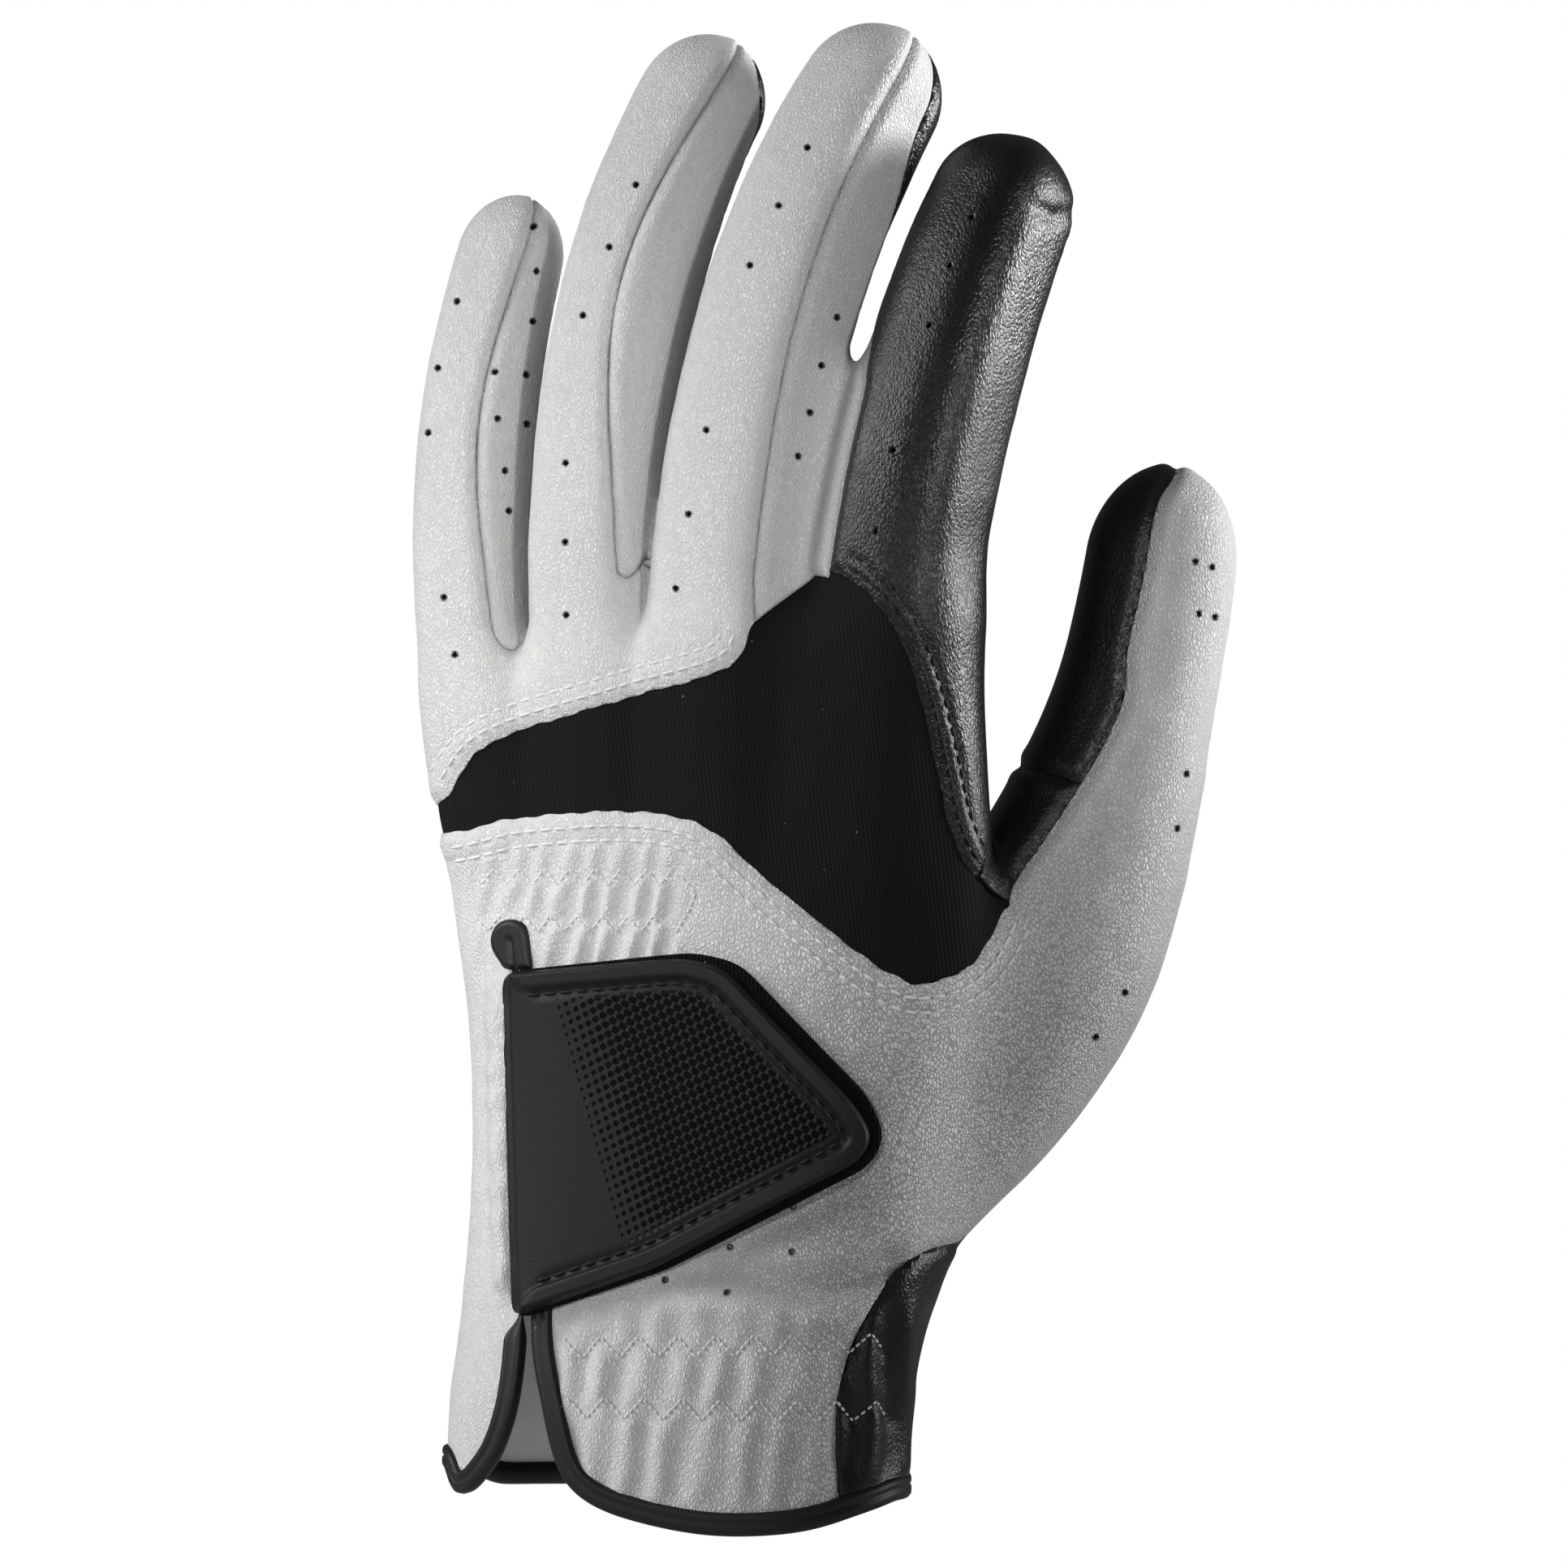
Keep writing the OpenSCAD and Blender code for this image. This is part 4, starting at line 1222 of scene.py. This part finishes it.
def sweep(path, up, section, size):
    """Tube of a closed section along a path: the section's first number runs across the path, its second
    along up, and size thins it at each place."""
    along = np.gradient(path, axis=0)
    along /= np.linalg.norm(along, axis=1)[:, None]
    up = up - (up * along).sum(1)[:, None] * along
    up /= np.linalg.norm(up, axis=1)[:, None]
    across = np.cross(up, along)
    m = len(section)
    section = section[None] * size[:, None, None]
    points = path[:, None] + across[:, None] * section[..., :1] + up[:, None] * section[..., 1:]
    i = np.arange(len(path) - 1)[:, None] * m
    j = np.arange(m)
    k = (j + 1) % m
    faces = np.stack([i + j, i + m + j, i + m + k, i + k], -1).reshape(-1, 4)
    return points.reshape(-1, 3), faces


SLIT_RIGHT = [[-27.2, 84], [-26.6, 70], [-26.3, 45], [-26.4, 29], [-25, 20], [-22.6, 10], [-18.6, 5],
              [-11, 2], [1, 0], [14, 0.6], [24, 3.4], [28.5, 5]]
FLAP_EDGE = [[-38.4, 5.3], [-36.6, 5.9], [-34.4, 8.4], [-32.4, 11.4], [-30.8, 15.6], [-29.7, 20],
             [-28.9, 26], [-28.4, 33.6]]
KEYHOLE = [[-31.2, 85.7], [-31.7, 86.7], [-33.1, 88.7], [-33.3, 90.8], [-32.3, 92.8], [-30.2, 93.6],
           [-28.0, 92.9], [-27.4, 91], [-26.9, 86.6], [-26.9, 85.7]]
# Section of the tape: rolled over the edge, with a sewn groove along its middle
TAPE_SECTION = np.array([[-0.45, -1.0], [-0.6, -0.3], [-0.45, 0.45], [0.0, 0.8], [0.7, 0.86], [1.15, 0.8],
                         [1.45, 0.58], [1.75, 0.8], [2.3, 0.84], [2.8, 0.66], [3.05, 0.2], [3.05, -0.3],
                         [2.6, -1.5], [0.3, -1.7]])
TAPE_STEP = 0.7
PALM_STEPS = 150


def front_path(line):
    """Line seen from the front, laid on the skin in equal steps."""
    flat_line = even_line(smooth_line(line), TAPE_STEP)
    return back_points(flat_line[:, 0], flat_line[:, 1])[0]


def tape_route():
    """Route of the tape: down the slit's right side, round the palm's hem, and up the flap's edge, with
    its turns smoothed."""
    right_path, flap_path = front_path(SLIT_RIGHT), front_path(FLAP_EDGE)
    start, end = wrist_angle(right_path[-1]), wrist_angle(flap_path[0])
    angle = np.linspace(start, end % (2 * np.pi), PALM_STEPS)[1:-1]
    blend = np.linspace(0, 1, PALM_STEPS)[1:-1]
    palm_z = PALM_HEM + (right_path[-1, 2] - PALM_HEM) * step_up(-blend, -0.14, 0)
    palm_z = palm_z + palm_hem(skin_round(angle, palm_z)[:, 0]) - PALM_HEM
    palm_z = palm_z + (flap_path[0, 2] - palm_z) * step_up(blend, 0.965, 1)
    route = np.concatenate([right_path, skin_round(angle, palm_z), flap_path])
    route = even_line(route, TAPE_STEP)
    for smoothing in range(6):
        route[1:-1] = 0.25 * route[:-2] + 0.5 * route[1:-1] + 0.25 * route[2:]
    return route


def capped(points, faces, m):
    """Tube with both ends closed by fans."""
    last = len(points) - m
    j = np.arange(m)
    k = (j + 1) % m
    caps = np.stack([np.full(m, len(points)), j, k, k], 1)
    ends = np.stack([np.full(m, len(points) + 1), last + k, last + j, last + j], 1)
    points = np.concatenate([points, points[:m].mean(0)[None], points[last:].mean(0)[None]])
    tris = [np.stack([f[:, 0], f[:, 1], f[:, 2]], 1) for f in (faces, faces[:, [0, 2, 3, 1]], caps, ends)]
    return points, np.concatenate(tris)


def keyhole_high(d, x, z):
    """Top of the tape round the slit's end: rounded over, with a dip along the slit."""
    dip = 0.55 * bell(x + 30.1 - 0.12 * (91 - z), 0.35) * step_up(-z, -91, -90)
    return 1.0 - 0.6 * np.clip(1 - d / 0.9, 0, 1) ** 2 - dip


def binding_tape():
    """Tape on the hem and the slit's edges, thinned at its end under the tab."""
    route = tape_route()
    size = 1 - 0.8 * step_up(np.arange(len(route)), len(route) - 8, len(route) - 2)
    points, faces = sweep(route, form_normals(route)[0], TAPE_SECTION, size)
    points, faces = capped(points, faces, len(TAPE_SECTION))
    make_piece("binding_tape", points, faces, tape, ["edge_binding"])


binding_tape()
slab("keyhole_tape", round_outline(KEYHOLE, 1.2), level(-0.9), keyhole_high, tape, (),
     "glove", np.array([[-30.0, 90.4], [-29.4, 86.5]]), rings=16, step=0.3)

# Stitches


def capsules(a, b, up, radius):
    """Small rounded threads from points a to points b: five rings of six points, pointed at both ends."""
    way = b - a
    length = np.linalg.norm(way, axis=1)[:, None]
    way = way / length
    up = up - (up * way).sum(1)[:, None] * way
    up /= np.linalg.norm(up, axis=1)[:, None]
    side = np.cross(way, up)
    ring_at = np.array([0.0, 0.16, 0.5, 0.84, 1.0])
    ring_r = np.array([0.25, 0.85, 1.0, 0.85, 0.25]) * radius
    turn = np.arange(6) * np.pi / 3
    arch = np.array([-0.5, 0.0, 0.25, 0.0, -0.5]) * radius
    points = (a[:, None, None] + way[:, None, None] * (ring_at[:, None] * length[:, None])[..., None]
              + (side[:, None, None] * np.cos(turn)[:, None] + up[:, None, None] * np.sin(turn)[:, None])
              * ring_r[:, None, None] + up[:, None, None] * arch[:, None, None])
    r, c = np.meshgrid(np.arange(4), np.arange(6), indexing="ij")
    d = (c + 1) % 6
    quads = np.stack([r * 6 + c, (r + 1) * 6 + c, (r + 1) * 6 + d, r * 6 + d], -1).reshape(-1, 4)
    fan = np.array([[0, 1, 2], [0, 2, 3], [0, 3, 4], [0, 4, 5]])
    tris = np.concatenate([quads[:, [0, 2, 1]], quads[:, [0, 3, 2]], fan, 24 + fan[:, [0, 2, 1]]])
    count = len(a)
    return points.reshape(-1, 3), (np.arange(count)[:, None, None] * 30 + tris).reshape(-1, 3)


def row(line, pitch, share=0.78):
    """Start and end points of the stitches of a row: each takes a share of its pitch."""
    line = np.asarray(line, float)
    run = np.concatenate([[0], np.cumsum(np.linalg.norm(np.diff(line, axis=0), axis=1))])
    at = np.arange(0.2, run[-1] - pitch, pitch)
    ends = []
    for s in (at, at + pitch * share):
        ends.append(np.stack([np.interp(s, run, line[:, k]) for k in (0, 1)], 1))
    return ends


def sew(name, rows, lift, radius, material, body="glove"):
    """Stitches of several rows as one piece, laid on the skin raised by lift(x, z)."""
    a = np.concatenate([r[0] for r in rows])
    b = np.concatenate([r[1] for r in rows])
    ends = []
    for p in (a, b):
        skin, normals = back_points(p[:, 0], p[:, 1])
        ends.append(skin + normals * (lift(p[:, 0], p[:, 1]) + 0.55 * radius)[:, None])
    points, faces = capsules(ends[0], ends[1], normals, radius)
    return make_piece(name, points, faces, material, (), body)


def beside(lift, line):
    """Height of stitches along a seam's line: their leather's own height and its turned edge."""
    return lambda x, z: lift(x, z) + seam_roll(line_distance(line, x, z))


def cuff_height(x, z):
    """Height of the cuff's stitches, which run from the white leather on to the black corner."""
    on_corner = step_up(shape_field(CORNER, x, z), -0.3, 0.3)
    return back_lift(x, z) * (1 - on_corner) + corner_lift(x, z) * on_corner


back_height = beside(back_lift, lower_line)
sew("knuckle_stitches", [row(line, 2.3) for line in KNUCKLE_SEWN], beside(knuckle_lift, upper_line), 0.27,
    white_thread)
sew("back_stitches", [row(line, 2.3) for line in BACK_SEWN], back_height, 0.27, white_thread)
sew("index_stitches", [row(line, 2.2) for line in INDEX_SEWN], beside(index_lift, upper_line), 0.27,
    black_thread)
sew("gather_stitches", [row(line, 1.15) for line in (*GATHER_ROWS, GATHER_END)], back_height, 0.2,
    white_thread)
sew("cuff_stitches", [row(line, 1.09) for line in CUFF_ROWS], cuff_height, 0.22, white_thread)


def tab_groove():
    """Groove inside the tab's outline, its left side left out."""
    rim = even_line(np.concatenate([COVER, COVER[:1]]), 0.3)
    groove = offset_line(rim, -GROOVE_IN)
    x, z = groove.T
    return groove[(left_gap(x, z) > 4) & (shape_field(COVER, x, z) > GROOVE_IN - 0.15)]


def cover_height(x, z):
    """Height of the tab's stitches: the cover's top."""
    return cover_high(shape_field(COVER, x, z), x, z)


sew("tab_stitches", [row(tab_groove(), 2.4)], cover_height, 0.3, black_thread,
    "closure_tab")


def lay_flat(piece):
    """Reads a panel's points and triangles, and does nothing more with them."""
    mesh = piece.data
    co = np.zeros(len(mesh.vertices) * 3, np.float32)
    mesh.vertices.foreach_get("co", co)
    co = co.reshape(-1, 3)
    tri = np.zeros(len(mesh.polygons) * 3, np.int32)
    mesh.polygons.foreach_get("vertices", tri)


bpy.context.view_layer.update()
for piece in panels:
    lay_flat(piece)

# Stage, light and camera
scene = bpy.context.scene
scene.view_settings.view_transform = "Standard"
AMBIENT = 0.08
FLOOR_RADIUS = 0.4
FLOOR_Z = -0.03
# Name, place, point looked at, size, power and spread in degrees of each light
LIGHTS = (("key", (-1.0, -0.12, 0.62), (0.01, 0, 0.11), 0.6, 10.5, 180),
          ("fill", (-0.35, -1.0, 0.3), (-0.07, 0, 0.1), 0.12, 0.05, 13),
          ("side", (0.55, -0.9, 0.35), (-0.005, 0, 0.185), 0.1, 0.016, 10),
          ("rim", (0.9, 0.15, 0.4), (0.03, 0, 0.4), 0.5, 1.9, 40),
          ("thumb", (0.5, -0.9, 0.3), (0.08, 0, 0.135), 0.1, 0.011, 9))
# Middle of the picture, the camera's distance, and the width of the picture there
PICTURE_X = 0.01175
PICTURE_Z = 0.11425
CAMERA_AWAY = 2.4
PICTURE_WIDE = 0.2415
SENSOR = 36


def white_studio():
    """White background for the camera, and a weak even light from it on the glove."""
    world = bpy.data.worlds.new("studio")
    scene.world = world
    world.use_nodes = True
    sky = world.node_tree
    backdrop = sky.nodes["Background"]
    backdrop.inputs["Color"].default_value = (1, 1, 1, 1)
    seen = add(sky, "ShaderNodeLightPath").outputs["Is Camera Ray"]
    strength = ranged(sky, seen, 0.0, 1.0, AMBIENT, 1.0, smooth=False)
    sky.links.new(strength, backdrop.inputs["Strength"])


def floor_disc(radius, height):
    """Plain pale disc under the glove."""
    turn = np.linspace(0, 2 * np.pi, 65)[:-1]
    mesh = bpy.data.meshes.new("floor")
    points = np.stack([radius * np.cos(turn), radius * np.sin(turn), np.full(64, height)], 1)
    mesh.from_pydata(points.tolist(), [], [list(range(64))])
    material, tree, shader, place = new_material("floor_paint")
    mottle = noise(tree, place, 30.0).outputs["Fac"]
    tree.links.new(colours(tree, mottle, grey(0.78), grey(0.82)), shader.inputs["Base Color"])
    shader.inputs["Roughness"].default_value = 0.8
    mesh.materials.append(material)
    floor = bpy.data.objects.new("floor", mesh)
    scene.collection.objects.link(floor)


def soft_light(name, place, target, size, power, spread):
    """Square soft light that looks at a point, with its beam narrowed to a spread in degrees."""
    lamp = bpy.data.lights.new(name, "AREA")
    lamp.size = size
    lamp.energy = power
    lamp.spread = np.radians(spread)
    light = bpy.data.objects.new(name, lamp)
    scene.collection.objects.link(light)
    light.location = place
    light.rotation_euler = (Vector(target) - Vector(place)).to_track_quat("-Z", "Y").to_euler()


def front_camera():
    """Camera that looks straight at the glove's back."""
    camera = bpy.data.cameras.new("camera")
    eye = bpy.data.objects.new("camera", camera)
    scene.collection.objects.link(eye)
    eye.location = (PICTURE_X, -CAMERA_AWAY, PICTURE_Z)
    eye.rotation_euler = (np.pi / 2, 0, 0)
    camera.lens = SENSOR * CAMERA_AWAY / PICTURE_WIDE
    camera.clip_end = 20
    scene.camera = eye


white_studio()
floor_disc(FLOOR_RADIUS, FLOOR_Z)
for light in LIGHTS:
    soft_light(*light)
front_camera()
